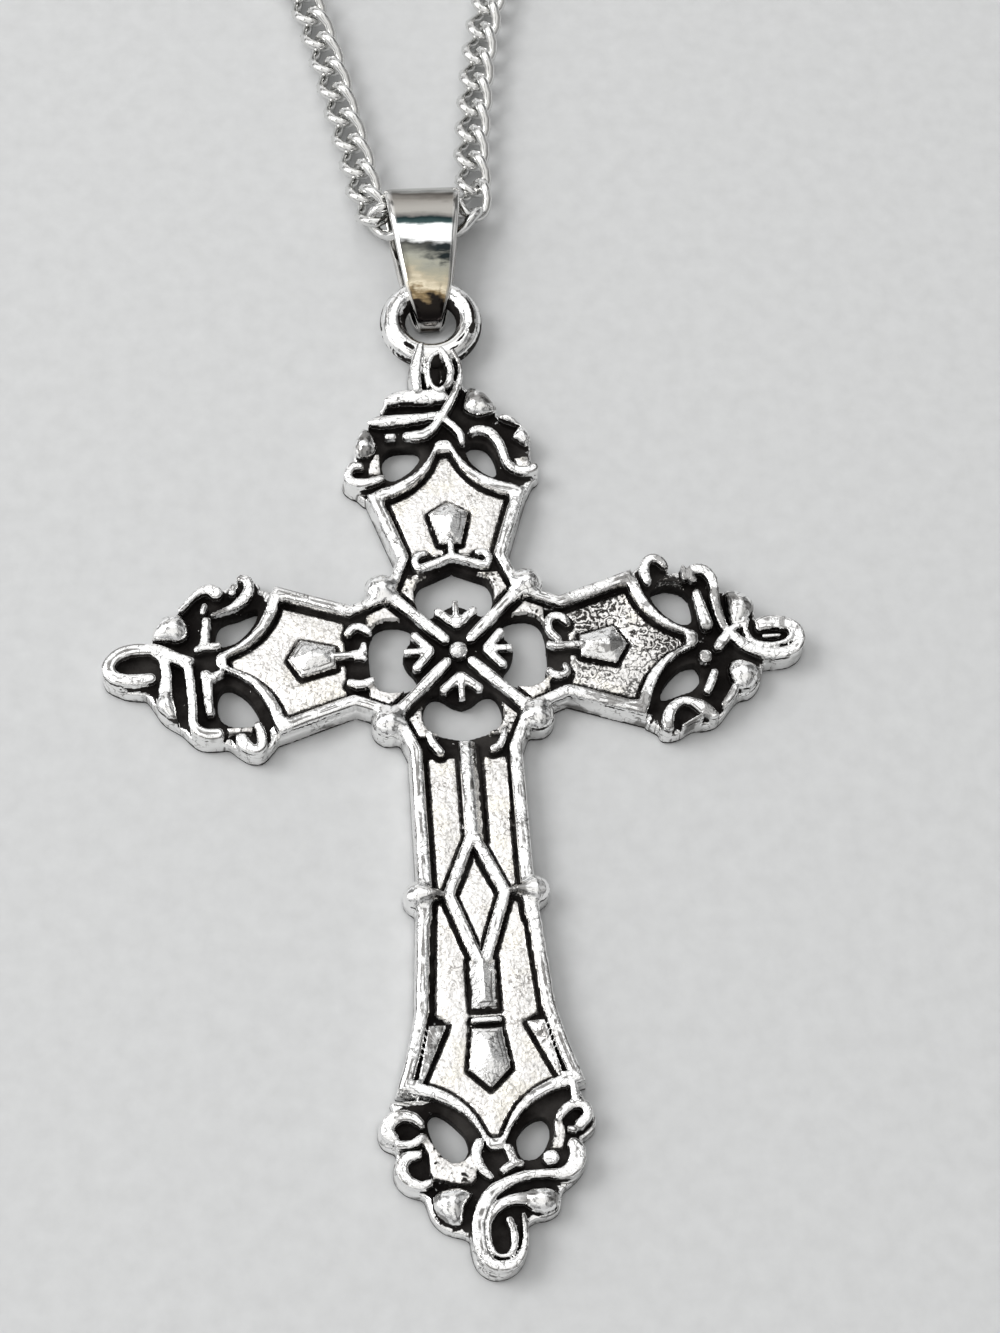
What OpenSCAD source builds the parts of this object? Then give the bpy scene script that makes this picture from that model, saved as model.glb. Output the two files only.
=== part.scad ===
// Cross pendant on a curb chain. Millimetres, +Z up. The cross lies on its back at z = 0,
// its long axis along Y with the hanging ring at +Y, and the arms cross at the origin.

/* [Cross] */
// Distance from the crossing to the inner point of a short arm's panel
arm_reach = 16.15; // [15.5:0.05:17]
// Distance from the crossing to the inner point of the long arm's panel
shaft_reach = 34.75; // [33.5:0.05:36]
// Height of the dark ground behind the scrollwork
ground_z = 1.2; // [1:0.1:1.3]
// Height of the frosted panels
panel_z = 1.5; // [1.4:0.05:1.6]
// Height of the rims and strands
relief_z = 2.2; // [2:0.05:2.4]
// Width of the raised rim round each panel
rim_w = 0.85; // [0.7:0.05:0.9]
// Height of the faceted studs
stud_z = 2.45; // [2.3:0.05:2.6]

/* [Hanging ring and bail] */
// Radius of the hanging ring, to the middle of its wire
ring_r = 2.7; // [2.6:0.05:2.8]
// Radius of the hanging ring's wire
ring_wire = 0.9; // [0.8:0.05:0.9]
// Thickness of the bail's sheet
bail_t = 0.45; // [0.35:0.05:0.5]

/* [Chain] */
// Radius of the wire of the chain's two end links
wire_r = 0.27; // [0.24:0.01:0.27]
// Width of the solid that stands for the chain's twisted links
link_w = 2.4; // [2.3:0.05:2.4]

/* [Hidden] */
$fn = 48;

silver = "silver";
steel = "lightgray";

// A smooth curve through the given points, with n steps between each two
function curve_point(a, b, c, d, t) =
    0.5 * (2 * b + (c - a) * t + (2 * a - 5 * b + 4 * c - d) * t * t
        + (3 * b - a - 3 * c + d) * t * t * t);
function smooth(p, n) = let (last = len(p) - 1) [
    for (i = [0 : last - 1]) for (k = [0 : n - 1])
        curve_point(p[max(i - 1, 0)], p[i], p[i + 1], p[min(i + 2, last)], k / n),
    p[last]
];
function flip(p) = [for (i = [len(p) - 1 : -1 : 0]) [-p[i].x, p[i].y]];
function both_sides(p) = concat(p, flip(p));

// Panels: the ogee edge between a panel and its scrollwork is an arc whose centre
// lies beside the panel's point. Points are for the right half, from the crossing outwards.
ogee_r = 5.3;
ogee_x = 5.65;
ogee_y = 1.4;
point_half = 0.35;
function ogee(reach) = [
    for (a = [258 : -10 : 198]) [ogee_x + ogee_r * cos(a), reach + ogee_y + ogee_r * sin(a)],
    [point_half, reach]
];
arm_neck = [3.0, 7.6];
arm_half = concat([[0.2, 0.85], [4.2, 4.85], arm_neck], ogee(arm_reach));
shaft_half = concat(
    [[0.2, 0.85], [4.2, 4.85], [2.95, 7.6], [2.95, 17.9], [3.1, 19.5], [3.35, 23], [3.6, 26.4],
     [2.6, 27.0]], ogee(shaft_reach));

// Outer edges of the arms, from the crossing outwards to where the scrollwork starts
arm_edge = [[0, 0], [5, 5], [4.05, 7.4], [5.9, 12.8]];
shaft_edge = [[0, 0], [5, 5], [4.0, 7.6], [4.05, 17], [4.25, 19.5], [4.75, 26], [5.4, 28.6], [6.3, 31.4]];
bead_at = 5.35;
bead_r = 1.15;

// Scrollwork of one end, from the panel's point: u across, v outwards.
// The outline runs anticlockwise from the right foot.
scroll_edge = [
    [5.9, -3.4], [5.7, -2.6], [6.6, -2.3], [6.95, -1.5], [6.6, -0.5], [6.15, 0], [6.4, 0.8],
    [6.3, 1.6], [5.8, 2.5], [4.7, 3.1], [4.6, 3.9], [4.1, 4.9], [3.1, 5.5], [2.2, 5.5], [1.95, 5.9],
    [1.9, 7.0], [1.4, 8.1], [0.6, 8.75], [-0.4, 8.85], [-1.2, 8.35], [-1.8, 7.3], [-1.95, 6.1],
    [-2.3, 5.6], [-3.3, 5.3], [-4.1, 4.5], [-4.4, 3.4], [-5.3, 2.9], [-6.0, 2.0], [-6.2, 0.9],
    [-5.95, 0], [-6.9, -0.4], [-7.35, -1.3], [-7.2, -2.2], [-6.5, -2.8], [-5.9, -3.4]
];
// Strands of one end: width of the strand, then its course
end_strands = [
    [0.68, [[0.1, 2.7], [0.8, 3.7], [1.35, 4.9], [1.55, 6.2], [1.25, 7.5], [0.5, 8.3], [-0.4, 8.35],
            [-1.15, 7.6], [-1.5, 6.5], [-1.45, 5.6]]],
    [0.55, [[-2.3, 4.2], [-0.9, 4.1], [0.15, 4.5], [0.75, 5.4], [0.75, 6.6], [0.3, 7.5], [-0.3, 7.5],
            [-0.75, 6.7], [-0.8, 5.7]]],
    [0.85, [[0.3, 2.6], [-1.0, 2.45], [-2.4, 2.25], [-3.8, 2.5], [-4.9, 2.4], [-5.5, 1.6], [-5.4, 0.7]]],
    [0.62, [[-0.8, 1.6], [-1.7, 1.35], [-3.8, 1.25]]],
    [0.6, [[0.3, 2.6], [0.9, 2.1], [1.3, 1.3]]],
    [0.6, [[2.2, 1.45], [3.3, 1.25], [4.0, 0.5], [4.3, -0.6]]],
    [0.75, [[4.3, 2.9], [5.2, 2.2], [5.8, 1.2], [5.5, 0.4], [4.9, 0.6]]],
    [0.7, [[4.3, -0.6], [4.6, -1.4], [5.3, -1.85], [6.2, -1.6], [6.3, -0.9]]],
    [0.72, [[-4.7, -1.9], [-5.8, -2.2], [-6.7, -1.8], [-6.7, -1.0], [-6.0, -0.6]]],
    [0.5, [[-5.0, 0.0], [-4.9, -1.2]]]
];
// Round ends of the strands and loose beads of one end: u, v, radius
end_beads = [[-0.8, 5.5, 0.42], [-5.4, 0.7, 0.52], [5.0, 0.6, 0.48], [6.2, -0.9, 0.45],
             [-6.0, -0.65, 0.45], [1.35, 1.2, 0.42]];
// The two leaves beside the loop of one end
leaf_right = [[1.6, 3.4], [2.2, 3.0], [4.0, 3.2], [4.3, 3.8], [3.7, 4.8], [2.9, 5.25], [2.3, 4.9]];
leaf_left = [[-4.0, 3.35], [-1.1, 3.5], [-1.2, 4.4], [-2.0, 5.1], [-3.0, 5.0], [-3.8, 4.3]];
// The two gaps cut through each end
gap_left = [[-4.7, -1.1], [-4.4, 0.0], [-3.6, 0.7], [-2.2, 0.75], [-1.6, 0.3], [-1.75, -0.5],
            [-2.5, -1.35], [-3.5, -1.95], [-4.4, -1.95]];
gap_right = [[1.5, 0.6], [2.5, 0.8], [3.3, 0.3], [3.7, -0.7], [4.2, -1.7], [4.3, -2.2], [3.5, -2.1],
             [2.5, -1.4], [1.75, -0.5]];

// Crossing: window, fan and bracket of one arm, right half, from the crossing outwards
window_half = [[0, 3.9], [0.7, 3.65], [1.35, 3.1], [2.0, 2.95], [2.6, 3.4], [2.95, 4.4], [2.8, 5.4],
               [2.2, 6.0], [1.2, 6.2], [0, 6.4]];
fan_root = [0, 1.9];
fan_strands = [[0.5, [fan_root, [1.2, 3.0]]], [0.5, [fan_root, [-1.2, 3.0]]], [0.5, [fan_root, [0, 3.65]]]];
bar_from = 1.25;
bar_w = 0.75;
boss_r = 0.7;
curl = [[2.1, 6.8], [2.6, 7.0], [2.7, 7.5], [2.2, 7.85], [1.8, 7.65]];
bracket_w = 0.5;

// Shaft: ridge, diamond, bar and side drops, measured down from the crossing
ridge_w = 1.15;
ridge_from = 6.9;
diamond = [[0, 14.2], [1.85, 18.05], [0, 22.7]];
diamond_w = 0.8;
bar_top = 22.6;
bar_end = 26.1;
drop_at = 17.9;
drop_r = 0.85;

// Studs: half width at the foot, half width at the shoulder, and the distances from the
// crossing of the foot, the peak's two ends, the shoulder and the point
arm_stud = [0.8, 1.45, 8.55, 9.4, 10.7, 11.05, 11.95];
shaft_stud = [1.0, 1.4, 27.3, 28.3, 29.6, 30.1, 31.4];

module torus(r, wire, steps = 48) {
    rotate_extrude($fn = steps) translate([r, 0]) circle(wire, $fn = steps / 2);
}
module arm(i) {
    rotate([0, 0, 90 * i]) children();
}
module at_ends() {
    for (i = [0 : 3])
        arm(i) translate([0, i == 2 ? shaft_reach : arm_reach]) children();
}
module on_short_arms() {
    for (i = [0, 1, 3])
        arm(i) children();
}

// A strand of even width along a course, with round ends
function normal(p, i) = let (
        d = p[min(i + 1, len(p) - 1)] - p[max(i - 1, 0)])
    [-d.y, d.x] / norm(d);
module strand(w, course, steps = 3) {
    p = len(course) > 2 ? smooth(course, steps) : course;
    polygon(concat(
        [for (i = [0 : len(p) - 1]) p[i] + w / 2 * normal(p, i)],
        [for (i = [len(p) - 1 : -1 : 0]) p[i] - w / 2 * normal(p, i)]));
    for (q = [p[0], p[len(p) - 1]])
        translate(q) circle(d = w, $fn = 10);
}

module panels() {
    on_short_arms() polygon(both_sides(arm_half));
    arm(2) polygon(both_sides(shaft_half));
}
module arms_outline() {
    on_short_arms() polygon(both_sides(concat(arm_edge, ogee(arm_reach + rim_w))));
    arm(2) polygon(both_sides(concat(shaft_edge, ogee(shaft_reach + rim_w))));
    for (i = [0 : 3])
        arm(i) translate([bead_at, bead_at]) circle(bead_r, $fn = 24);
}
module plate_outline() {
    arms_outline();
    at_ends() polygon(smooth(scroll_edge, 2));
}
module gaps() {
    at_ends() {
        polygon(gap_left);
        polygon(gap_right);
    }
    for (i = [0 : 3])
        arm(i) polygon(both_sides(window_half));
}
module rims() {
    difference() {
        intersection() {
            offset(delta = rim_w) panels();
            offset(delta = -0.2) arms_outline();
        }
        panels();
    }
    // The wider part of the rim below the shaft's notches
    arm(2) for (side = [-1, 1])
        polygon([for (p = [[2.6, 27.0], [4.5, 31.0], [4.9, 31.0], [4.4, 27.0]]) [side * p.x, p.y]]);
}
module crossing_strands() {
    for (i = [0 : 3]) {
        arm(i) rotate(-45) strand(bar_w, [[0, bar_from], [0, bead_at * sqrt(2)]]);
        arm(i) for (f = fan_strands)
            strand(f[0], f[1]);
        arm(i) for (side = [-1, 1])
            strand(bracket_w, [for (p = curl) [side * p.x, p.y]]);
    }
    circle(boss_r, $fn = 20);
    on_short_arms() {
        for (side = [-1, 1])
            strand(bracket_w, [[0, 7.6], [side * 2.1, 6.8]]);
        strand(bracket_w, [[0, 7.5], [0, 8.7]]);
    }
}
module shaft_strands() {
    arm(2) {
        strand(ridge_w, [[0, ridge_from], [0, diamond[0].y]]);
        for (side = [-1, 1])
            for (k = [0, 1])
                strand(diamond_w, [for (p = [diamond[k], diamond[k + 1]]) [side * p.x, p.y]]);
        translate([-0.95, bar_top]) square([1.9, bar_end - bar_top]);
    }
}
module scroll_strands() {
    at_ends() {
        for (s = end_strands)
            strand(s[0], s[1]);
        for (b = end_beads)
            translate([b[0], b[1]]) circle(b[2], $fn = 12);
        polygon(leaf_right);
        polygon(leaf_left);
    }
}

// A faceted stud: a five-sided foot rising to a short ridge
module stud(s) {
    ring = [[-s[0], s[2]], [s[0], s[2]], [s[1], s[5]], [0, s[6]], [-s[1], s[5]]];
    polyhedron(
        points = concat(
            [for (p = ring) [p.x, p.y, ground_z - 0.4]], [for (p = ring) [p.x, p.y, panel_z + 0.3]],
            [[0, s[3], stud_z], [0, s[4], stud_z]]),
        faces = concat(
            [[0, 1, 2, 3, 4]],
            [for (k = [0 : 4]) let (m = (k + 1) % 5) [k, k + 5, m + 5, m]],
            [[5, 10, 6], [6, 10, 11, 7], [7, 11, 8], [8, 11, 9], [9, 11, 10, 5]]));
}

// A drop lying on its side, round at the rim and pointed towards the diamond
module side_drop() {
    translate([4.0, -drop_at, relief_z - 0.75]) rotate([0, -90, 0])
        cylinder(h = 2.0, r1 = drop_r * 0.9, r2 = 0.12);
    translate([4.0, -drop_at, relief_z - 0.75]) sphere(drop_r);
}

module blobs() {
    at_ends() {
        // The crowns of the two leaves
        translate([2.8, 3.9, 1.25]) sphere(1.1);
        translate([-2.9, 4.4, 1.4]) sphere(0.85);
    }
    for (i = [0 : 3])
        arm(i) translate([bead_at, bead_at, bead_r]) sphere(bead_r + 0.05);
    translate([0, 0, relief_z - 0.35]) sphere(boss_r);
}

ring_at = [-0.25, 27.75, 1.45];

module cross() {
    color(silver) {
        difference() {
            union() {
                linear_extrude(ground_z) offset(delta = 0.01) plate_outline();
                linear_extrude(panel_z) intersection() {
                    panels();
                    union() for (i = [0 : 3]) arm(i) translate([-8, 4.2]) square([16, 40]);
                }
            }
            translate([0, 0, -1]) linear_extrude(5) offset(delta = 0.01) gaps();
        }
        translate([0, 0, ground_z - 0.5]) linear_extrude(relief_z - ground_z + 0.5) offset(delta = 0.01) {
            rims();
            crossing_strands();
            shaft_strands();
            scroll_strands();
        }
        blobs();
        on_short_arms() stud(arm_stud);
        arm(2) stud(shaft_stud);
        side_drop();
        mirror([1, 0, 0]) side_drop();
        translate(ring_at) torus(ring_r, ring_wire);
    }
}

// Bail: a strip folded into a closed loop, drawn from its side as y and z, and cut to a
// tapered outline seen from above
bail_side = [[27.2, 0.75], [28.0, 1.95], [29.3, 2.8], [31.0, 3.45], [33.5, 4.05], [36.0, 4.35], [37.7, 3.95],
             [38.6, 2.9], [38.65, 1.6], [37.8, 0.5], [36.0, 0.05], [32.0, 0.02], [28.6, 0.02], [27.5, 0.12],
             [27.2, 0.75]];
bail_half = [[0.75, 27.0], [1.2, 28.0], [1.75, 29.8], [2.2, 32.5], [2.6, 35.2], [2.85, 37.5], [2.9, 39.0]];
bail_x = -0.25;

module bail_loop() {
    rotate([90, 0, 90]) linear_extrude(8, center = true) difference() {
        polygon(smooth(bail_side, 3));
        offset(delta = -bail_t) polygon(smooth(bail_side, 3));
    }
}
module bail() {
    color(steel) translate([bail_x, 0, 0]) intersection() {
        bail_loop();
        translate([0, 0, -1]) linear_extrude(7)
            polygon(both_sides(bail_half));
    }
}

// Chain: a solid that stands for the links, along the course of their middle line, from the
// clasp down the left side, through the bail and up the right side, with a round link at
// each end
chain_z = link_w / 2 + 0.02;
end_z = 1.45;
far_y = 222.5;
left_end = -6.1;
right_end = 6.16;
end_link_r = 1.25;
course = [
    [left_end - end_link_r, far_y, end_z], [-11, far_y, 1.3], [-21, 220, chain_z], [-37, 209, chain_z],
    [-47, 188, chain_z], [-47, 162, chain_z], [-38, 131, chain_z], [-25.5, 101, chain_z],
    [-14, 76, chain_z], [-8.1, 57.7, chain_z], [-5.5, 45.3, chain_z], [-4.85, 41.2, 1.3],
    [-4.75, 38.9, 1.5], [-3.9, 36.9, 1.8], [-2.2, 36.1, 1.95], [-0.2, 36.0, 1.95],
    [1.7, 36.1, 1.95], [3.4, 36.9, 1.8], [4.25, 38.9, 1.5], [4.35, 41.2, 1.3],
    [4.4, 45.6, chain_z], [6.25, 57.4, chain_z], [12, 76, chain_z], [23.5, 101, chain_z],
    [37, 131, chain_z], [47, 162, chain_z], [47, 188, chain_z], [37, 209, chain_z],
    [21, 220, chain_z], [11, far_y, 1.3], [right_end + end_link_r, far_y, end_z]
];
chain_sides = 8;

// A tube of even radius swept along a line, turned so that its flats stay level
module tube(line, r, sides) {
    last = len(line) - 1;
    points = [
        for (i = [0 : last]) let (
                d = line[min(i + 1, last)] - line[max(i - 1, 0)],
                ahead = d / norm(d),
                across = [ahead.y, -ahead.x, 0] / norm([ahead.x, ahead.y]),
                up = cross(across, ahead))
            for (k = [0 : sides - 1]) let (a = 360 * (k + 0.5) / sides)
                line[i] + r * (across * cos(a) + up * sin(a))
    ];
    polyhedron(points, concat(
        [[for (k = [sides - 1 : -1 : 0]) k]],
        [for (i = [0 : last - 1]) for (k = [0 : sides - 1]) let (m = (k + 1) % sides)
            [i * sides + k, i * sides + m, (i + 1) * sides + m, (i + 1) * sides + k]],
        [[for (k = [0 : sides - 1]) last * sides + k]]));
}
module chain() {
    color(silver) {
        tube(smooth(course, 3), link_w / 2 / cos(180 / chain_sides), chain_sides);
        for (x = [left_end, right_end])
            translate([x, far_y, end_z]) rotate([-end_roll, 0, 0]) torus(end_link_r, wire_r);
    }
}

// Fastening: a jump ring at each end of the chain, and a plain clasp between them
jump_r = 1.5;
jump_wire = 0.3;
jump_roll = 50;
end_roll = 40;
clasp_r = 2.6;
clasp_wire = 0.6;
clasp_roll = -18;
eye_r = 0.95;
eye_wire = 0.35;
hold = 0.2;
jump_left_x = left_end + end_link_r - wire_r - jump_wire - hold + jump_r;
clasp_x = jump_left_x + jump_r - eye_wire - jump_wire - hold + 2 * eye_r + 0.15 + clasp_r;
jump_right_x = clasp_x + clasp_r - clasp_wire - jump_wire - hold + jump_r;

module ring_left() {
    color(silver) translate([jump_left_x, far_y, end_z]) rotate([jump_roll, 0, 0]) torus(jump_r, jump_wire);
}
module ring_right() {
    color(silver) translate([jump_right_x, far_y, end_z]) rotate([jump_roll, 0, 0]) torus(jump_r, jump_wire);
}
module clasp() {
    color(silver) translate([clasp_x, far_y, end_z]) rotate([clasp_roll, 0, 0]) {
        torus(clasp_r, clasp_wire);
        translate([-clasp_r - eye_r - 0.15, 0, 0]) torus(eye_r, eye_wire);
    }
}

cross();
bail();
chain();
ring_left();
ring_right();
clasp();
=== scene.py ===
import math

import bpy
import numpy as np
from mathutils import Matrix, Vector


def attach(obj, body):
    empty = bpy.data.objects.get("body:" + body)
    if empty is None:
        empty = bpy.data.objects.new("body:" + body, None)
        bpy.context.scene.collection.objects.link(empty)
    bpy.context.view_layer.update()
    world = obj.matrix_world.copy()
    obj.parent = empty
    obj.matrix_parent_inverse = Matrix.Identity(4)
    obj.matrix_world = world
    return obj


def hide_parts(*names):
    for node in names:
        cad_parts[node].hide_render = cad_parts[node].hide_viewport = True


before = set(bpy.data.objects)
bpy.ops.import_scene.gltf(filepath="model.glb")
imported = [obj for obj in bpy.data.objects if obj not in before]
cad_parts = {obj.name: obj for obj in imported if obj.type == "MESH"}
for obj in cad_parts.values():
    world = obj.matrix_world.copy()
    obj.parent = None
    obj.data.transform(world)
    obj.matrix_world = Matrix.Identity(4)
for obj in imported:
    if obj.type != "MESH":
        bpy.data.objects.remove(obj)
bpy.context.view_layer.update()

MM = 0.001
# How far from the middle of the cross each panel's point lies
ARM_REACH = 16.15
SHAFT_REACH = 34.75
# Heights: between the raised parts, of the frosted floors, and of the strands' and rims' crowns
GROUND = 1.15
FLOOR = 1.5
TOP = 2.2
# Width of the height map's cells, and a distance that counts as far off on it
CELL = 0.1
FAR_OFF = 9.0
# The whole of the map, as slices
WHOLE = (slice(None), slice(None))
# Room left round an outline on the map: round a large one, and round a small raised one
MARGIN = 1.5
NEAR = 0.4
# How much wider a strand is made than its listed width
WIDER = 0.1
# Rims: their inner and outer edge inwards from the casting's edge, middle, half width and fall
RIM_IN, RIM_OUT, RIM_MIDDLE, RIM_HALF, RIM_FALL = 1.06, 0.1, 0.58, 0.48, 0.36
# The ogee edges' rims: middle and half width outwards from the panel, and fall
OGEE_MIDDLE, OGEE_HALF, OGEE_FALL = 0.44, 0.46, 0.32
# How square the rims' crowns are
RIM_POWER = 2.6
# Heights of the studs' ridges, and of the cheeks beside the crossing's windows
STUD_TOP = 2.35
CHEEK = 1.72
# How far from the middle the rims begin, the panels' floors begin, and the arms' ends begin
RIM_START = 4.6
PANEL_START = 7.9
END_START = 12.0


# Curves and distances, in mm

def smooth(points, steps):
    """A curve through the points, with the given number of steps between each two."""
    p = np.array(points, float)
    p = np.vstack([p[:1], p, p[-1:]])
    out = []
    for a, b, c, d in zip(p, p[1:], p[2:], p[3:]):
        for t in np.arange(steps) / steps:
            out.append(0.5 * (2 * b + (c - a) * t + (2 * a - 5 * b + 4 * c - d) * t ** 2
                              + (3 * b - a - 3 * c + d) * t ** 3))
    return np.array(out + [p[-1]])


def flip(points):
    """The points mirrored across the arm's middle line, in reverse order."""
    return [[-p[0], *p[1:]] for p in points[::-1]]


def both_sides(points):
    return points + flip(points)


def on_arm(points, arm, along=0.0):
    """Points of an arm (across, outwards), moved out and turned: 0 top, 1 left, 2 bottom, 3 right."""
    p = np.array(points, float)
    a = math.radians(90 * arm)
    u, v = p[:, 0], p[:, 1] + along
    turned = np.column_stack([u * math.cos(a) - v * math.sin(a), u * math.sin(a) + v * math.cos(a)])
    return np.hstack([turned, p[:, 2:]])


def reach(arm):
    return SHAFT_REACH if arm == 2 else ARM_REACH


def rounding(share, power=3.4):
    """How far a rounded crown has fallen, 0 at its middle and 1 at its edge."""
    return 1 - np.clip(1 - np.abs(share) ** power, 0, 1) ** (1 / power)


class Relief:
    """The cross's height map: how high the casting stands at each place, and what is cut away."""

    def __init__(self):
        self.x = np.arange(-25.7, 25.75, CELL)
        self.y = np.arange(-44.5, 25.75, CELL)
        self.shape = (len(self.x), len(self.y))
        # Distances to each kind of outline, then heights of what is raised, then marks for the finish
        self.outline = np.full(self.shape, FAR_OFF)
        self.panel = np.full(self.shape, FAR_OFF)
        self.hole = np.full(self.shape, FAR_OFF)
        self.raised = np.full(self.shape, FAR_OFF)
        self.crown = np.zeros(self.shape)
        self.frost = np.zeros(self.shape, bool)
        self.gloss = np.zeros(self.shape, bool)

    def grid(self, at=WHOLE):
        """Coordinates of the map's cells, or of a part of them."""
        return np.meshgrid(self.x[at[0]], self.y[at[1]], indexing="ij")

    def window(self, points, margin):
        """The part of the map round some points, as slices and coordinates."""
        lo, hi = points[:, :2].min(0) - margin, points[:, :2].max(0) + margin
        i = np.searchsorted(self.x, [lo[0], hi[0]])
        j = np.searchsorted(self.y, [lo[1], hi[1]])
        at = (slice(*i), slice(*j))
        return at, *self.grid(at)

    def from_polygon(self, points, margin=MARGIN):
        """Distance to a closed outline, less than zero inside it."""
        p = np.array(points, float)[:, :2]
        at, gx, gy = self.window(p, margin)
        far = np.full(gx.shape, 1e9)
        inside = np.zeros(gx.shape, bool)
        for a, b in zip(p, np.roll(p, -1, 0)):
            d = b - a
            if d @ d < 1e-12:
                continue
            t = np.clip(((gx - a[0]) * d[0] + (gy - a[1]) * d[1]) / (d @ d), 0, 1)
            far = np.minimum(far, (gx - a[0] - t * d[0]) ** 2 + (gy - a[1] - t * d[1]) ** 2)
            if a[1] != b[1]:
                crosses = (gy < max(a[1], b[1])) & (gy >= min(a[1], b[1]))
                inside ^= crosses & (gx < a[0] + (gy - a[1]) * d[0] / d[1])
        return at, np.where(inside, -1, 1) * np.sqrt(far)

    def join(self, name, points, margin=MARGIN):
        """Adds a closed outline to one of the map's layers."""
        at, far = self.from_polygon(points, margin)
        layer = getattr(self, name)
        layer[at] = np.minimum(layer[at], far)

    def raise_to(self, at, side, height):
        """Raises the casting where side is below zero."""
        over = side < 0
        self.crown[at] = np.where(over, np.maximum(self.crown[at], height), self.crown[at])
        self.raised[at] = np.minimum(self.raised[at], side)

    def strand(self, points, top=TOP, round_by=0.26, power=3.4, steps=4):
        """A rounded strand through points (x, y, width)."""
        p = smooth(points, steps) if len(points) > 2 else np.array(points, float)
        p[:, 2] += WIDER
        at, gx, gy = self.window(p, p[:, 2].max() / 2 + 0.35)
        side = np.full(gx.shape, FAR_OFF)
        share = np.ones(gx.shape)
        for a, b in zip(p, p[1:]):
            d = b[:2] - a[:2]
            t = np.clip(((gx - a[0]) * d[0] + (gy - a[1]) * d[1]) / max(d @ d, 1e-9), 0, 1)
            far = np.hypot(gx - a[0] - t * d[0], gy - a[1] - t * d[1])
            half = (a[2] + t * (b[2] - a[2])) / 2
            nearer = far - half < side
            side = np.where(nearer, far - half, side)
            share = np.where(nearer, far / half, share)
        self.raise_to(at, side, top - round_by * rounding(share, power))

    def dome(self, points, top, base=FLOOR, rounds=250):
        """A rounded swelling inside a closed outline, as a stretched skin blown up from its edge."""
        at, side = self.from_polygon(smooth(list(points) + [points[0]], 4), NEAR)
        inside = side < 0
        skin = np.zeros(side.shape)
        for _ in range(rounds):
            skin[1:-1, 1:-1] = (skin[2:, 1:-1] + skin[:-2, 1:-1] + skin[1:-1, 2:] + skin[1:-1, :-2]) / 4 + 1
            skin[~inside] = 0
        skin += np.clip(-side, 0, 0.05)
        self.raise_to(at, side, base + (top - base) * np.sqrt(np.clip(skin / skin.max(), 0, 1)))
        self.gloss[at] |= side < 0.05

    def facets(self, foot, foot_z, ridge, ridge_z):
        """A faceted stud: a five-sided foot that rises to a short ridge."""
        at, gx, gy = self.window(foot, NEAR)
        _, side = self.from_polygon(foot, NEAR)
        height = np.full(gx.shape, FAR_OFF)
        for a, b in zip(foot, np.roll(foot, -1, 0)):
            d = (b - a) / np.linalg.norm(b - a)
            n = np.array([-d[1], d[0]])
            run = min(abs((r - a) @ n) for r in ridge)
            off = np.abs((gx - a[0]) * n[0] + (gy - a[1]) * n[1])
            height = np.minimum(height, foot_z + (ridge_z - foot_z) * off / run)
        self.raise_to(at, side, np.minimum(height, ridge_z))


# The cross's own lines

def ogee(tip):
    """The curved edge between a panel and its scrollwork, right half."""
    a = np.radians(np.arange(258, 197, -6))
    arc = np.column_stack([5.65 + 5.3 * np.cos(a), tip + 1.4 + 5.3 * np.sin(a)])
    return arc.tolist() + [[0.35, tip]]


# Right halves of outlines, across and outwards: of the panels, and of the casting round them
ARM_PANEL = [[0.2, 0.85], [4.2, 4.85], [3.0, 7.6]] + ogee(ARM_REACH)
SHAFT_PANEL = [[0.2, 0.85], [4.2, 4.85], [2.95, 7.6], [2.95, 17.9], [3.1, 19.5], [3.35, 23],
               [3.6, 26.4], [2.6, 27.0]] + ogee(SHAFT_REACH)
ARM_EDGE = [[0, 0], [5, 5], [4.05, 7.4], [5.9, 12.8]] + ogee(ARM_REACH + 0.85)
SHAFT_EDGE = [[0, 0], [5, 5], [4.0, 7.6], [4.05, 17], [4.25, 19.5], [4.75, 26], [5.4, 28.6],
              [6.3, 31.4]] + ogee(SHAFT_REACH + 0.85)
# A window's right half, and where each window ends on its arm's middle line
WINDOW = [[0, 3.9], [0.7, 3.65], [1.35, 3.15], [1.95, 3.0], [2.45, 3.35], [2.75, 4.2],
          [2.72, 5.1], [2.35, 5.8], [1.5, 6.2]]
WINDOW_END = [6.85, 6.3, 6.6, 6.3]
# Studs: half widths of foot and shoulder, then outwards the foot, both ends of the ridge, the
# shoulder and the point
ARM_STUD = [0.8, 1.45, 8.55, 9.4, 10.7, 11.05, 11.95]
SHAFT_STUD = [1.0, 1.4, 27.3, 28.3, 29.6, 30.1, 31.4]

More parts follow.
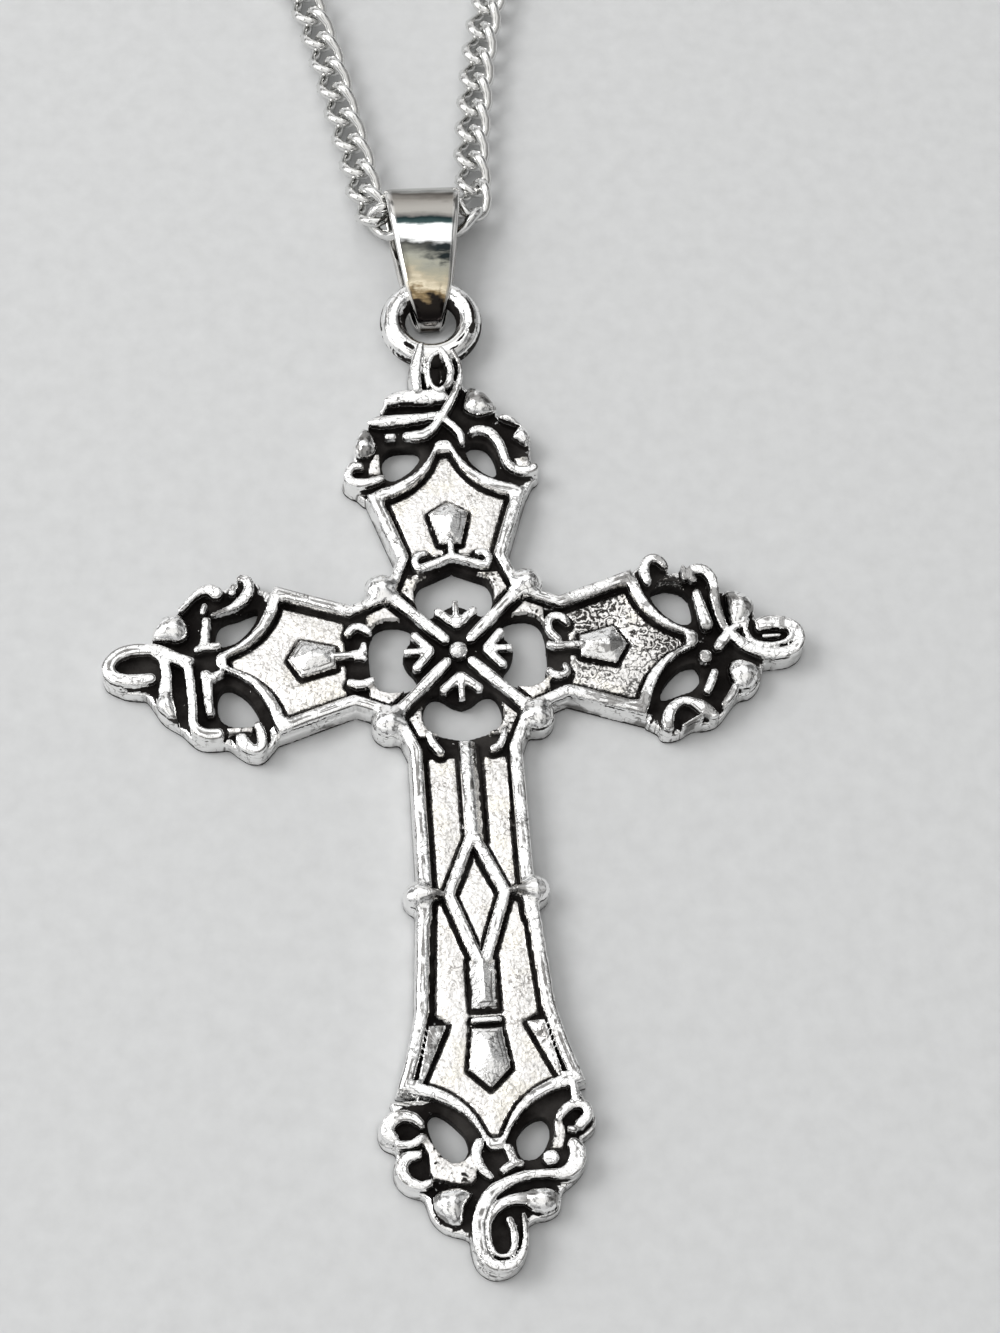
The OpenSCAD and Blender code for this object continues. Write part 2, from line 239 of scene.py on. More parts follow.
# The four ends: 0 top, 1 left, 2 bottom, 3 right. Points are across and outwards from the panel's
# point, and a strand's third number is its width. Domes, cheeks and some strands end with their height.
ENDS = {
    0: {
        "edge": [
            [5.9, -3.5], [6.35, -2.6], [6.8, -2.2], [6.8, -1.6], [6.5, -1.0], [6.45, 0], [6.5, 1.0],
            [6.25, 1.7], [5.8, 2.2], [5.2, 2.7], [4.6, 2.95], [4.3, 3.3], [4.0, 4.0], [3.5, 4.75],
            [2.8, 5.35], [2.05, 5.7], [1.9, 6.2], [1.95, 7.2], [1.7, 8.0], [1.2, 8.9], [-1.1, 9.0],
            [-1.85, 8.3], [-2.15, 7.4], [-2.2, 6.3], [-2.15, 5.3], [-3.2, 5.2], [-3.9, 4.85],
            [-4.2, 4.1], [-4.45, 3.5], [-4.65, 3.05], [-5.2, 2.8], [-5.65, 2.4], [-6.1, 1.7],
            [-6.5, 1.0], [-6.6, 0], [-6.7, -0.5], [-7.15, -1.0], [-7.45, -1.6], [-7.4, -2.2],
            [-7.0, -2.65], [-6.5, -2.95], [-6.0, -3.5]],
        "gaps": [
            [[-4.55, -0.7], [-4.4, 0.2], [-3.8, 0.72], [-2.9, 0.85], [-2.0, 0.75], [-1.7, 0.35],
             [-1.85, -0.4], [-2.6, -1.25], [-3.6, -1.85], [-4.3, -1.7]],
            [[1.6, 0.6], [2.1, 1.0], [2.8, 0.95], [3.3, 0.6], [3.7, -0.2], [3.85, -1.2], [3.6, -1.9],
             [2.8, -1.5], [1.9, -0.5]]],
        "strands": [
            [[-1.62, 5.1, 0.62], [-1.66, 6.2, 0.76], [-1.55, 7.2, 0.78], [-1.3, 8.1, 0.68],
             [-1.12, 8.9, 0.5], 2.62],
            [[-0.84, 5.3, 0.12], [-0.98, 6.4, 0.14], [-0.95, 7.6, 0.14], [-0.8, 8.4, 0.12], 2.35],
            [[0.35, 8.4, 0.3], [0.72, 7.6, 0.5], [0.93, 6.5, 0.52], [0.7, 5.4, 0.45],
             [0.05, 4.87, 0.3], 2.55],
            [[0.05, 4.87, 0.3], [-0.5, 5.3, 0.26], [-0.72, 6.4, 0.26], [-0.5, 7.6, 0.3],
             [0.05, 8.1, 0.3], 2.5],
            [[0.2, 7.0, 0.08], [0.26, 6.3, 0.12], [0.14, 5.8, 0.08], 1.75],
            [[1.1, 8.6, 0.26], [1.5, 7.6, 0.3], [1.7, 6.8, 0.3], [1.58, 5.9, 0.38],
             [1.25, 4.95, 0.5], [0.85, 4.1, 0.55], [0.42, 3.35, 0.6], [0.12, 2.85, 0.6], 2.4],
            [[-3.7, 4.3, 0.7], [-3.0, 4.5, 1.0], [-1.9, 4.55, 1.1], [-0.8, 4.5, 1.05],
             [0.2, 4.5, 0.8], 2.3],
            [[-4.0, 4.3, 0.6], [-4.15, 3.8, 0.5], [-4.3, 3.45, 0.4]],
            [[0.1, 2.95, 0.6], [-1.0, 2.82, 0.6], [-2.2, 2.7, 0.75], [-3.5, 2.62, 0.85],
             [-4.6, 2.6, 0.8], [-5.15, 2.6, 0.6]],
            [[-0.05, 2.7, 0.5], [-0.6, 1.9, 0.6], [-1.4, 1.35, 0.75], [-2.1, 1.25, 0.75],
             [-2.6, 1.25, 0.6]],
            [[0.1, 2.75, 0.5], [0.75, 2.05, 0.46], [1.3, 1.3, 0.5], [1.4, 0.6, 0.5]],
            [[-3.95, 1.25, 0.45], [-3.6, 1.25, 0.46]],
            [[-4.6, -2.15, 0.45], [-5.2, -2.35, 0.6], [-6.0, -2.5, 0.7], [-6.7, -2.35, 0.65],
             [-7.0, -1.9, 0.56], [-6.95, -1.4, 0.56], [-6.6, -1.05, 0.6], [-6.15, -1.1, 0.55]],
            [[2.2, 1.45, 0.5], [2.8, 1.6, 0.58], [3.5, 1.3, 0.66], [4.0, 0.6, 0.66],
             [4.28, -0.2, 0.62], [4.45, -1.0, 0.6], [4.8, -1.6, 0.6], [5.4, -1.98, 0.64],
             [6.0, -2.0, 0.7], [6.45, -1.8, 0.7]]],
        "domes": [
            [[1.65, 3.5], [1.75, 4.3], [2.1, 5.2], [2.6, 5.3], [3.3, 4.8], [3.9, 4.0], [4.15, 3.3],
             [3.6, 2.95], [2.8, 2.8], [2.0, 3.1], 2.55],
            [[-5.75, 2.3], [-5.2, 1.9], [-4.9, 1.2], [-4.8, 0.6], [-5.1, 0.0], [-5.6, -0.3],
             [-6.2, -0.2], [-6.5, 0.5], [-6.4, 1.3], [-6.1, 2.0], 2.35],
            [[4.15, 2.6], [4.45, 2.9], [5.1, 2.7], [5.8, 2.1], [5.9, 1.85], [5.3, 1.95],
             [4.6, 2.2], 2.3],
            [[5.0, 0.9], [5.5, 1.7], [6.0, 1.85], [6.35, 1.3], [6.4, 0.4], [6.1, 0.1],
             [5.5, 0.5], 2.3]],
        "cheeks": [
            [[-5.0, -0.1], [-4.65, -0.1], [-4.7, -1.7], [-5.6, -1.7], [-5.4, -0.8], 2.0],
            [[5.1, -0.5], [6.1, -0.4], [6.3, -1.2], [6.0, -1.5], [5.4, -1.4], 1.35]]},
    1: {
        "edge": [
            [5.8, -3.3], [5.9, -2.6], [6.3, -2.45], [6.75, -1.9], [6.75, -1.2], [6.35, -0.7],
            [6.15, 0], [6.1, 0.9], [6.0, 1.5], [5.7, 2.05], [5.1, 2.65], [4.5, 3.15], [3.95, 3.5],
            [3.75, 4.1], [3.45, 4.6], [2.8, 5.15], [2.0, 5.5], [1.7, 5.8], [1.7, 6.7], [1.5, 7.5],
            [0.9, 8.2], [0.1, 8.7], [-0.8, 8.6], [-1.3, 8.1], [-1.75, 7.2], [-1.9, 6.5],
            [-2.0, 5.8], [-2.4, 5.45], [-3.0, 5.1], [-3.6, 4.75], [-4.05, 4.3], [-4.5, 3.65],
            [-4.85, 3.2], [-5.5, 2.65], [-5.95, 2.0], [-6.05, 1.0], [-6.0, 0.3], [-6.2, -0.1],
            [-6.65, -0.6], [-7.1, -1.3], [-7.15, -2.1], [-6.7, -2.65], [-5.9, -3.3]],
        "gaps": [
            [[-4.75, -0.9], [-4.5, 0.1], [-3.8, 0.7], [-2.4, 0.8], [-1.6, 0.4], [-1.6, -0.3],
             [-2.3, -1.2], [-3.3, -1.85], [-4.2, -2.1], [-4.6, -1.7]],
            [[1.5, 0.6], [2.3, 0.85], [3.3, 0.6], [3.7, 0.0], [3.9, -0.8], [4.25, -1.7], [4.3, -2.2],
             [3.5, -2.1], [2.5, -1.4], [1.75, -0.5]]],
        "strands": [
            [[-1.05, 5.3, 0.7], [-1.12, 6.0, 0.86], [-1.08, 7.0, 0.86], [-0.8, 7.8, 0.86],
             [-0.15, 8.2, 0.9], [0.6, 7.9, 0.86], [1.08, 7.1, 0.84], [1.22, 6.1, 0.84],
             [1.15, 5.1, 0.84], [0.85, 4.3, 0.84], [0.4, 3.5, 0.8], [0.2, 2.9, 0.75],
             [0.15, 2.5, 0.5]],
            [[0.9, 4.9, 0.7], [0.4, 4.4, 0.72], [-0.4, 4.25, 0.7], [-1.2, 4.22, 0.75],
             [-2.0, 4.3, 0.9]],
            [[0.3, 3.2, 0.7], [-0.4, 2.7, 0.6], [-1.2, 2.6, 0.62], [-2.5, 2.5, 0.62],
             [-3.8, 2.45, 0.6], [-4.7, 2.4, 0.62], [-5.2, 2.1, 0.75], [-5.5, 1.5, 0.85],
             [-5.5, 0.8, 0.85]],
            [[-3.85, 1.25, 0.55], [-2.6, 1.38, 0.62], [-1.5, 1.4, 0.75], [-1.0, 1.5, 0.75]],
            [[-1.3, 1.2, 0.6], [-0.95, 0.5, 0.5]],
            [[0.95, 2.05, 0.42], [1.3, 1.6, 0.6], [2.2, 1.45, 0.6], [3.15, 1.35, 0.6]],
            [[1.1, 1.4, 0.5], [1.2, 0.6, 0.5]],
            [[3.85, 1.6, 0.36], [4.3, 1.45, 0.4]],
            [[4.25, 3.1, 0.55], [5.0, 2.5, 0.66], [5.62, 1.8, 0.72], [5.65, 1.1, 0.78],
             [5.35, 0.65, 0.95]],
            [[3.6, 0.9, 0.26], [3.9, 0.1, 0.32], [4.2, -0.6, 0.5], [4.8, -1.3, 0.7],
             [5.5, -1.7, 0.74], [6.2, -1.6, 0.66], [6.45, -1.1, 0.5]],
            [[5.3, -0.5, 0.5], [5.75, -0.6, 0.5]],
            [[-5.0, -2.0, 0.5], [-5.7, -2.2, 0.66], [-6.5, -2.2, 0.7], [-6.85, -1.7, 0.66],
             [-6.5, -1.15, 0.85], [-5.95, -0.8, 0.8]]],
        "domes": [
            [[-4.6, 3.5], [-4.1, 4.2], [-3.4, 4.85], [-2.7, 5.05], [-2.2, 4.8], [-1.6, 4.3],
             [-1.8, 3.85], [-2.6, 3.65], [-3.6, 3.5], 2.4],
            [[1.65, 3.4], [1.8, 4.4], [2.0, 5.1], [2.6, 5.15], [3.4, 4.8], [3.85, 4.1], [3.95, 3.4],
             [3.6, 2.9], [2.8, 2.6], [2.0, 2.75], 2.6]],
        "cheeks": [[[-5.4, 0.1], [-4.9, 0.2], [-4.9, -1.6], [-5.3, -1.6], 1.8]]},
    2: {
        "edge": [
            [6.7, -3.0], [6.5, -2.4], [7.0, -2.2], [7.45, -1.5], [7.5, -0.7], [7.15, -0.05],
            [6.5, 0.3], [6.45, 0.7], [6.65, 1.2], [6.65, 1.9], [6.45, 2.4], [6.0, 2.9],
            [5.4, 3.2], [4.85, 3.4], [4.65, 3.9], [4.4, 4.7], [3.9, 5.35], [3.2, 5.75], [2.4, 6.0],
            [2.05, 6.3], [2.0, 7.0], [1.75, 7.9], [1.2, 8.5], [0.5, 8.75], [-0.4, 8.6], [-1.1, 8.1],
            [-1.55, 7.3], [-1.7, 6.4], [-1.75, 5.6], [-2.3, 5.25], [-3.1, 5.15], [-3.8, 4.75],
            [-4.0, 4.1], [-4.15, 3.5], [-4.7, 3.1], [-5.3, 2.6], [-5.75, 1.9], [-5.85, 1.1],
            [-5.7, 0.4], [-6.0, 0.1], [-6.5, -0.3], [-6.7, -0.9], [-6.55, -1.6], [-6.2, -2.2],
            [-5.9, -2.9], [-5.7, -3.4]],
        "gaps": [
            [[-3.4, 0.3], [-3.05, 0.9], [-2.5, 1.3], [-1.8, 1.3], [-1.45, 0.8], [-1.4, 0.0],
             [-1.7, -0.6], [-2.4, -1.2], [-3.2, -1.4], [-3.6, -0.9], [-3.6, -0.2]],
            [[1.7, 0.4], [2.0, 1.0], [2.5, 1.35], [3.1, 1.15], [3.7, 0.5], [4.05, -0.3],
             [4.25, -1.1], [4.2, -1.8], [3.7, -2.1], [3.0, -1.7], [2.3, -1.0], [1.85, -0.4]]],
        "strands": [
            [[-1.4, 5.1, 0.3], [-1.48, 5.8, 0.4], [-1.45, 6.6, 0.42], [-1.22, 7.4, 0.5],
             [-0.7, 8.0, 0.62], [0.1, 8.2, 0.7], [0.85, 8.0, 0.74], [1.3, 7.3, 0.8],
             [1.48, 6.4, 0.84], [1.45, 5.4, 0.86], [1.15, 4.5, 0.86], [0.75, 3.8, 0.85],
             [0.3, 3.35, 0.8], [-0.4, 3.0, 0.7], [-1.2, 2.68, 0.62], [-2.1, 2.5, 0.58],
             [-3.1, 2.5, 0.56], [-3.9, 2.55, 0.62], [-4.6, 2.4, 0.9], [-5.1, 1.8, 1.1],
             [-5.2, 1.2, 1.05], [-5.0, 0.7, 0.75]],
            [[-0.5, 5.3, 0.42], [-0.72, 6.0, 0.46], [-0.7, 6.9, 0.44], [-0.4, 7.45, 0.34],
             [0.1, 7.55, 0.2], [0.6, 7.3, 0.22], [0.84, 6.4, 0.22], [0.8, 5.5, 0.26],
             [0.5, 4.9, 0.4], [0.1, 4.4, 0.6], [-0.7, 4.05, 0.62], [-1.6, 3.95, 0.7]],
            [[-3.5, 1.5, 0.95], [-3.4, 1.5, 0.95]],
            [[-1.5, 1.75, 0.4], [-1.0, 1.75, 0.5], [-0.35, 2.1, 0.48]],
            [[-1.1, 1.7, 0.5], [-0.8, 0.75, 0.56]],
            [[0.5, 2.5, 0.38], [0.9, 2.05, 0.5], [1.2, 1.5, 0.6], [1.3, 0.9, 0.66], [1.1, 0.3, 0.66]],
            [[4.4, 2.65, 0.5], [4.9, 2.8, 0.56], [5.5, 2.6, 0.66], [5.98, 2.1, 0.76],
             [6.08, 1.5, 0.78], [5.75, 0.95, 0.74], [5.0, 0.8, 0.5]],
            [[4.7, -1.2, 0.5], [5.2, -1.65, 0.66], [6.0, -1.8, 0.8], [6.65, -1.5, 0.9],
             [6.9, -0.85, 0.85], [6.5, -0.35, 0.66]],
            [[4.7, -0.3, 0.5], [5.3, 0.05, 0.5], [6.2, 0.1, 0.5]],
            [[-5.5, -0.55, 0.66], [-6.05, -1.05, 0.6], [-6.0, -1.7, 0.6], [-5.4, -1.95, 0.56],
             [-4.7, -1.65, 0.56], [-4.2, -1.1, 0.5]],
            [[-5.1, -0.2, 0.36], [-4.85, -0.3, 0.4]],
            [[-5.35, -2.2, 0.5], [-5.3, -3.2, 0.5]]],
        "domes": [
            [[-3.85, 3.9], [-3.6, 4.6], [-3.0, 4.95], [-2.3, 4.9], [-1.6, 4.5], [-1.2, 4.1],
             [-1.2, 3.6], [-1.9, 3.35], [-2.8, 3.3], [-3.5, 3.45], 2.45],
            [[1.6, 3.4], [2.2, 4.3], [2.4, 5.2], [2.9, 5.4], [3.6, 5.1], [4.1, 4.5], [4.3, 3.8],
             [4.1, 3.3], [3.4, 3.05], [2.5, 3.0], 2.6]],
        "cheeks": [
            [[1.3, 2.4], [1.8, 2.85], [3.0, 2.7], [4.1, 2.35], [4.4, 1.8], [4.3, 1.0], [4.6, 0.2],
             [4.8, -0.5], [4.4, -0.6], [4.1, 0.0], [3.6, 0.7], [2.9, 1.4], [2.1, 1.3], [1.5, 0.7], 1.95],
            [[-4.3, 0.9], [-3.5, 0.9], [-3.8, -0.1], [-3.9, -1.1], [-4.4, -1.1], [-4.6, -0.2], 1.9]]},
    3: {
        "edge": [
            [6.0, -3.4], [6.5, -2.6], [6.95, -2.4], [7.1, -1.8], [6.95, -1.1], [6.6, -0.5], [6.4, 0],
            [6.4, 0.8], [6.2, 1.5], [5.8, 2.0], [5.2, 2.5], [4.6, 3.0], [4.25, 3.5], [4.15, 4.1],
            [3.8, 4.6], [3.1, 5.05], [2.4, 5.25], [2.0, 5.4], [1.9, 6.0], [1.85, 7.0], [1.5, 7.8],
            [0.9, 8.3], [0, 8.45], [-0.8, 8.1], [-1.3, 7.4], [-1.55, 6.5], [-1.55, 5.5],
            [-1.9, 5.25], [-2.5, 5.2], [-3.2, 4.9], [-3.75, 4.2], [-3.95, 3.4], [-4.1, 2.9],
            [-4.9, 2.65], [-5.6, 2.2], [-5.95, 1.5], [-5.95, 0.7], [-5.85, 0], [-5.75, -0.6],
            [-6.2, -0.8], [-6.7, -1.2], [-6.9, -1.9], [-6.6, -2.6], [-6.2, -3.0], [-5.9, -3.4]],
        "gaps": [
            [[-4.65, -1.0], [-4.4, 0.0], [-3.6, 0.65], [-2.2, 0.75], [-1.6, 0.35], [-1.7, -0.4],
             [-2.5, -1.35], [-3.5, -2.0], [-4.3, -2.05]],
            [[1.5, 0.5], [2.1, 0.8], [2.9, 0.7], [3.6, 0.1], [3.9, -0.8], [4.2, -1.7], [4.2, -2.2],
             [3.4, -2.05], [2.5, -1.4], [1.7, -0.5]]],
        "strands": [
            [[-0.95, 5.25, 0.7], [-1.14, 6.0, 0.78], [-1.1, 7.0, 0.76], [-0.72, 7.75, 0.74],
             [0.05, 8.05, 0.74], [0.85, 7.85, 0.78], [1.35, 7.15, 0.84], [1.46, 6.2, 0.84],
             [1.32, 5.3, 0.8], [0.95, 4.45, 0.78], [0.5, 3.8, 0.76], [-0.1, 3.3, 0.6]],
            [[-0.62, 5.25, 0.6], [-0.7, 6.0, 0.5], [-0.62, 7.0, 0.44], [-0.3, 7.45, 0.46],
             [0.2, 7.4, 0.4], [0.6, 6.9, 0.28], [0.78, 6.0, 0.26], [0.62, 5.0, 0.3],
             [0.2, 4.45, 0.32], [-0.5, 4.2, 0.36], [-1.2, 4.35, 0.4]],
            [[0.1, 6.6, 0.12], [0.1, 5.4, 0.14]],
            [[-0.75, 2.72, 0.5], [-1.6, 2.5, 0.6], [-3.0, 2.32, 0.66], [-4.0, 2.36, 0.7],
             [-4.8, 2.25, 0.72], [-5.35, 1.8, 0.74], [-5.5, 1.1, 0.7], [-5.1, 0.72, 0.6],
             [-4.65, 0.9, 0.5]],
            [[-5.6, 0.3, 0.36], [-4.75, 0.3, 0.36]],
            [[-3.5, 1.05, 0.6], [-2.3, 1.28, 0.72], [-1.05, 1.5, 0.92]],
            [[-0.9, 4.2, 0.4], [-0.75, 3.5, 0.4], [-0.35, 3.05, 0.62], [0.1, 2.65, 0.76],
             [0.72, 2.12, 0.66]],
            [[1.4, 1.15, 0.9], [1.5, 1.15, 0.9]],
            [[2.72, 1.65, 0.52], [3.4, 1.35, 0.6], [4.05, 1.02, 0.54]],
            [[3.9, 3.0, 0.5], [4.6, 2.6, 0.6], [5.2, 2.05, 0.4]],
            [[5.95, 1.25, 0.6], [5.4, 0.65, 0.9], [4.9, -0.1, 0.62], [4.78, -0.9, 0.56],
             [5.2, -1.55, 0.7], [5.9, -1.95, 0.85], [6.6, -2.0, 0.75]],
            [[6.0, 0.4, 0.3], [6.35, -0.2, 0.36], [6.7, -0.9, 0.3]],
            [[-4.7, -2.35, 0.56], [-5.5, -2.5, 0.72], [-6.2, -2.3, 0.66], [-6.5, -1.8, 0.6],
             [-6.3, -1.3, 0.6], [-5.9, -1.0, 0.56]]],
        "domes": [
            [[-3.8, 3.15], [-3.65, 4.1], [-3.1, 4.85], [-2.4, 5.1], [-1.9, 4.85], [-1.2, 4.2],
             [-0.85, 3.7], [-1.05, 3.35], [-2.0, 3.1], [-3.0, 3.08], 2.45],
            [[1.55, 3.3], [1.85, 4.1], [2.25, 4.8], [2.7, 5.0], [3.3, 4.7], [3.9, 4.15],
             [4.1, 3.7], [3.85, 3.15], [3.3, 2.75], [2.5, 2.6], [1.9, 2.8], 2.6]],
        "cheeks": [[[-3.6, 0.45], [-4.1, 0.35], [-4.8, 0.0], [-5.2, -0.9], [-4.7, -1.7], [-4.3, -1.6],
                    [-4.35, -0.8], [-4.2, 0.0], [-3.7, 0.3], 1.95]]},
}


def cross_relief():
    """The height map of the whole casting but its hanging ring and beads."""
    r = Relief()
    # The square in the middle, which the arms leave from
    r.join("outline", [[-5, -5], [5, -5], [5, 5], [-5, 5]])
    for arm in range(4):
        panel, edge = (SHAFT_PANEL, SHAFT_EDGE) if arm == 2 else (ARM_PANEL, ARM_EDGE)
        end, along = ENDS[arm], reach(arm)
        r.join("panel", on_arm(both_sides(panel), arm), 2.0)
        r.join("outline", on_arm(both_sides(edge), arm))
        r.join("outline", on_arm(smooth(end["edge"], 3), arm, along))
        for gap in end["gaps"]:
            r.join("hole", on_arm(smooth(gap + gap[:1], 3), arm, along))
        r.join("hole", on_arm(smooth(both_sides(WINDOW + [[0, WINDOW_END[arm]]]), 3), arm))
    add_rims(r)
    for arm in range(4):
        add_crossing(r, arm)
        add_end(r, arm)
        if arm != 2:
            add_stud(r, arm, ARM_STUD)
    add_shaft(r)
    add_stud(r, 2, SHAFT_STUD)
    return r


def add_rims(r):
    """The raised rim: along the casting's edge, and along the ogee of each panel's outer end."""
    edge_far = np.full(r.shape, FAR_OFF)
    for arm in range(4):
        edge = SHAFT_EDGE if arm == 2 else ARM_EDGE
        at, far = r.from_polygon(on_arm(both_sides(edge), arm))
        edge_far[at] = np.minimum(edge_far[at], far)
    gx, gy = r.grid()
    out, across = np.maximum(np.abs(gx), np.abs(gy)), np.minimum(np.abs(gx), np.abs(gy))
    beside = np.maximum(-edge_far - RIM_IN, edge_far + RIM_OUT)
    beside = np.where((out > RIM_START) & (r.panel > -0.05), beside, FAR_OFF)
    r.raise_to(WHOLE, beside, TOP - RIM_FALL * rounding((edge_far + RIM_MIDDLE) / RIM_HALF, RIM_POWER))
    # The shaft's end counts as if its arm were as short as the others
    out = np.where(gy < -20, out - (SHAFT_REACH - ARM_REACH), out)
    ogee_band = np.maximum(np.abs(r.panel - OGEE_MIDDLE) - OGEE_HALF, edge_far + 0.05)
    ogee_band = np.where((out > END_START) & (across < 5.6), ogee_band, FAR_OFF)
    r.raise_to(WHOLE, ogee_band, TOP - OGEE_FALL * rounding((r.panel - OGEE_MIDDLE) / OGEE_HALF, RIM_POWER))
    # The sloping facet below the shaft's notches
    for s in (-1, 1):
        wedge = on_arm([[s * 2.6, 27.0], [s * 4.4, 30.9], [s * 4.78, 30.9], [s * 3.8, 27.0]], 2)
        at, far = r.from_polygon(wedge, NEAR)
        gx, gy = r.grid(at)
        run = (np.abs(gx) - (2.6 + (-gy - 27.0) * 0.47)) / 1.2
        r.raise_to(at, far, 1.95 + 0.17 * np.clip(run, 0, 1))


# Curls between the window and the panel of each arm: across, outwards, width
CURLS = {
    0: [[[0, 7.42, 0.5], [2.15, 6.66, 0.52], [2.52, 6.8, 0.5], [2.62, 7.25, 0.5], [2.3, 7.65, 0.46],
         [1.9, 7.65, 0.42]],
        [[0, 7.42, 0.5], [-2.15, 6.6, 0.52], [-2.55, 6.75, 0.5], [-2.62, 7.2, 0.5],
         [-2.35, 7.65, 0.46], [-1.9, 7.75, 0.42]]],
    1: [[[1.75, 7.62, 0.5], [2.12, 7.25, 0.55], [2.1, 6.7, 0.56], [1.75, 6.2, 0.5]],
        [[-2.1, 7.65, 0.5], [-2.3, 7.1, 0.62], [-2.2, 6.5, 0.6], [-2.05, 6.2, 0.5]],
        [[0.05, 7.4, 0.5], [0.15, 6.75, 0.62], [0.7, 6.6, 0.42]],
        [[-0.25, 7.2, 0.3], [-0.3, 6.6, 0.34]]],
    2: [[[2.45, 6.35, 0.5], [2.25, 7.0, 0.55], [1.75, 7.7, 0.5]],
        [[-2.75, 6.25, 0.4], [-2.6, 6.9, 0.46], [-2.3, 7.4, 0.5], [-1.85, 7.62, 0.42]]],
    3: [[[1.6, 7.35, 0.4], [2.05, 7.5, 0.46], [2.3, 7.1, 0.5], [2.25, 6.5, 0.56], [1.95, 6.25, 0.5]],
        [[-1.75, 7.8, 0.46], [-2.2, 7.4, 0.56], [-2.25, 6.8, 0.56], [-1.8, 6.45, 0.5],
         [-1.1, 6.55, 0.5], [-0.45, 7.1, 0.46]],
        [[-0.1, 6.4, 0.42], [0.1, 6.9, 0.46], [0.1, 7.3, 0.42]]]}


def add_crossing(r, arm):
    """Diagonal bar, fan and curls of one arm."""
    r.strand(on_arm([[0.9, 0.9, 0.66], [1.6, 1.6, 0.76], [4.1, 4.1, 0.76], [4.8, 4.8, 1.1]], arm))
    r.strand(on_arm([[0, 2.2, 0.8], [0, 2.45, 0.75]], arm))
    for tip in ([1.22, 3.0], [-1.22, 3.0]):
        r.strand(on_arm([[tip[0] * 0.08, 2.0, 0.56], [*tip, 0.6]], arm))
    r.strand(on_arm([[0, 2.3, 0.46], [0, 3.6, 0.48]], arm))
    for curl in CURLS[arm]:
        r.strand(on_arm(curl, arm))
    if arm != 2:
        r.strand(on_arm([[0, 7.45, 0.42], [0, 8.7, 0.4]], arm))


def add_shaft(r):
    """Ridge, diamond, bar and side drops of the long arm."""
    ridge = [[-0.95, 6.9], [0.5, 6.9], [0.5, 13.8], [0, 14.6], [-0.95, 14.2]]
    at, side = r.from_polygon(on_arm(ridge, 2), NEAR)
    slope = [[-0.55, TOP - 0.3], [-0.38, TOP - 0.05], [-0.2, TOP], [0.15, TOP], [0.35, TOP - 0.08],
             [0.95, 1.45]]
    r.raise_to(at, side, np.interp(r.grid(at)[0], *np.array(slope).T))
    for s in (-1, 1):
        r.strand(on_arm([[s * 0.12, 14.0, 0.72], [s * 1.9, 18.05, 0.7]], 2))
        r.strand(on_arm([[s * 1.9, 18.05, 0.72], [s * 0.3, 22.6, 0.76]], 2))
        r.strand(on_arm([[s * 3.9, 17.95, 1.75], [s * 2.1, 18.0, 0.1]], 2), TOP + 0.2, 0.5, 2.0)
        r.strand(on_arm([[s * 3.9, 17.95, 1.3], [s * 2.7, 18.0, 0.3]], 2), TOP + 0.4, 0.4, 2.0)
    at, gx, _ = r.window(on_arm([[-4.6, 17.2], [4.6, 18.7]], 2), 0.1)
    r.gloss[at] |= (np.abs(gx) > 2.2) & (r.crown[at] > TOP + 0.02)
    at, side = r.from_polygon(on_arm([[-0.95, 22.6], [0.95, 22.6], [0.95, 26.1], [-0.95, 26.1]], 2), NEAR)
    gx, gy = r.grid(at)
    roof = TOP + 0.1 - 0.75 * np.abs(gx)
    r.raise_to(at, side, np.minimum(roof, FLOOR + 1.2 * (gy + 26.15)))
    r.strand(on_arm([[-0.85, 26.85, 0.3], [0.85, 26.85, 0.3]], 2), TOP - 0.1, 0.2)


def add_stud(r, arm, sizes):
    """The faceted stud of a panel, from its half widths and its places outwards."""
    foot_half, shoulder_half, foot, ridge_from, ridge_to, shoulder, point = sizes
    sides = [[-foot_half, foot], [foot_half, foot], [shoulder_half, shoulder], [0, point],
             [-shoulder_half, shoulder]]
    r.facets(on_arm(sides, arm), FLOOR + 0.35, on_arm([[0, ridge_from], [0, ridge_to]], arm), STUD_TOP)


def add_end(r, arm):
    """The scrollwork of one end."""
    end, along = ENDS[arm], reach(arm)
    for line in end["strands"]:
        *points, top = line if isinstance(line[-1], float) else line + [TOP + 0.03]
        r.strand(on_arm(points, arm, along), top)
    for *points, top in end["domes"]:
        r.dome(on_arm(points, arm, along), top)
    for *points, top in end["cheeks"]:
        at, side = r.from_polygon(on_arm(points, arm, along), NEAR)
        side = np.maximum(side, 0.06 - r.hole[at])
        r.raise_to(at, side, np.full(side.shape, top))
        r.frost[at] |= (side < 0) & (r.crown[at] < top + 0.01)


def ground_height(r):
    """Height of the casting between its raised parts, and where that is frosted."""
    gx, gy = r.grid()
    out, across = np.maximum(np.abs(gx), np.abs(gy)), np.minimum(np.abs(gx), np.abs(gy))
    on_panel = (r.panel < 0) & (out > PANEL_START)
    # The groove round a floor is narrower on the shaft's right side
    deep = np.minimum(-r.panel + 0.2 * ((gx > 2) & (gy < -8)), r.raised + 0.08)
    height = np.where(on_panel, np.interp(deep, [0.14, 0.4], [GROUND, FLOOR]), GROUND)
    frost = on_panel * np.clip((deep - 0.12) / 0.36, 0, 1)
    # Cheeks beside the crossing's windows
    cheek = (r.panel < -0.34) & (out < 6.3) & (across > 1.8) & (out > 3.0) & (r.hole > 0.08)
    height = np.where(cheek, CHEEK, height)
    return height, np.maximum(frost, cheek | r.frost)


# The cross as a mesh

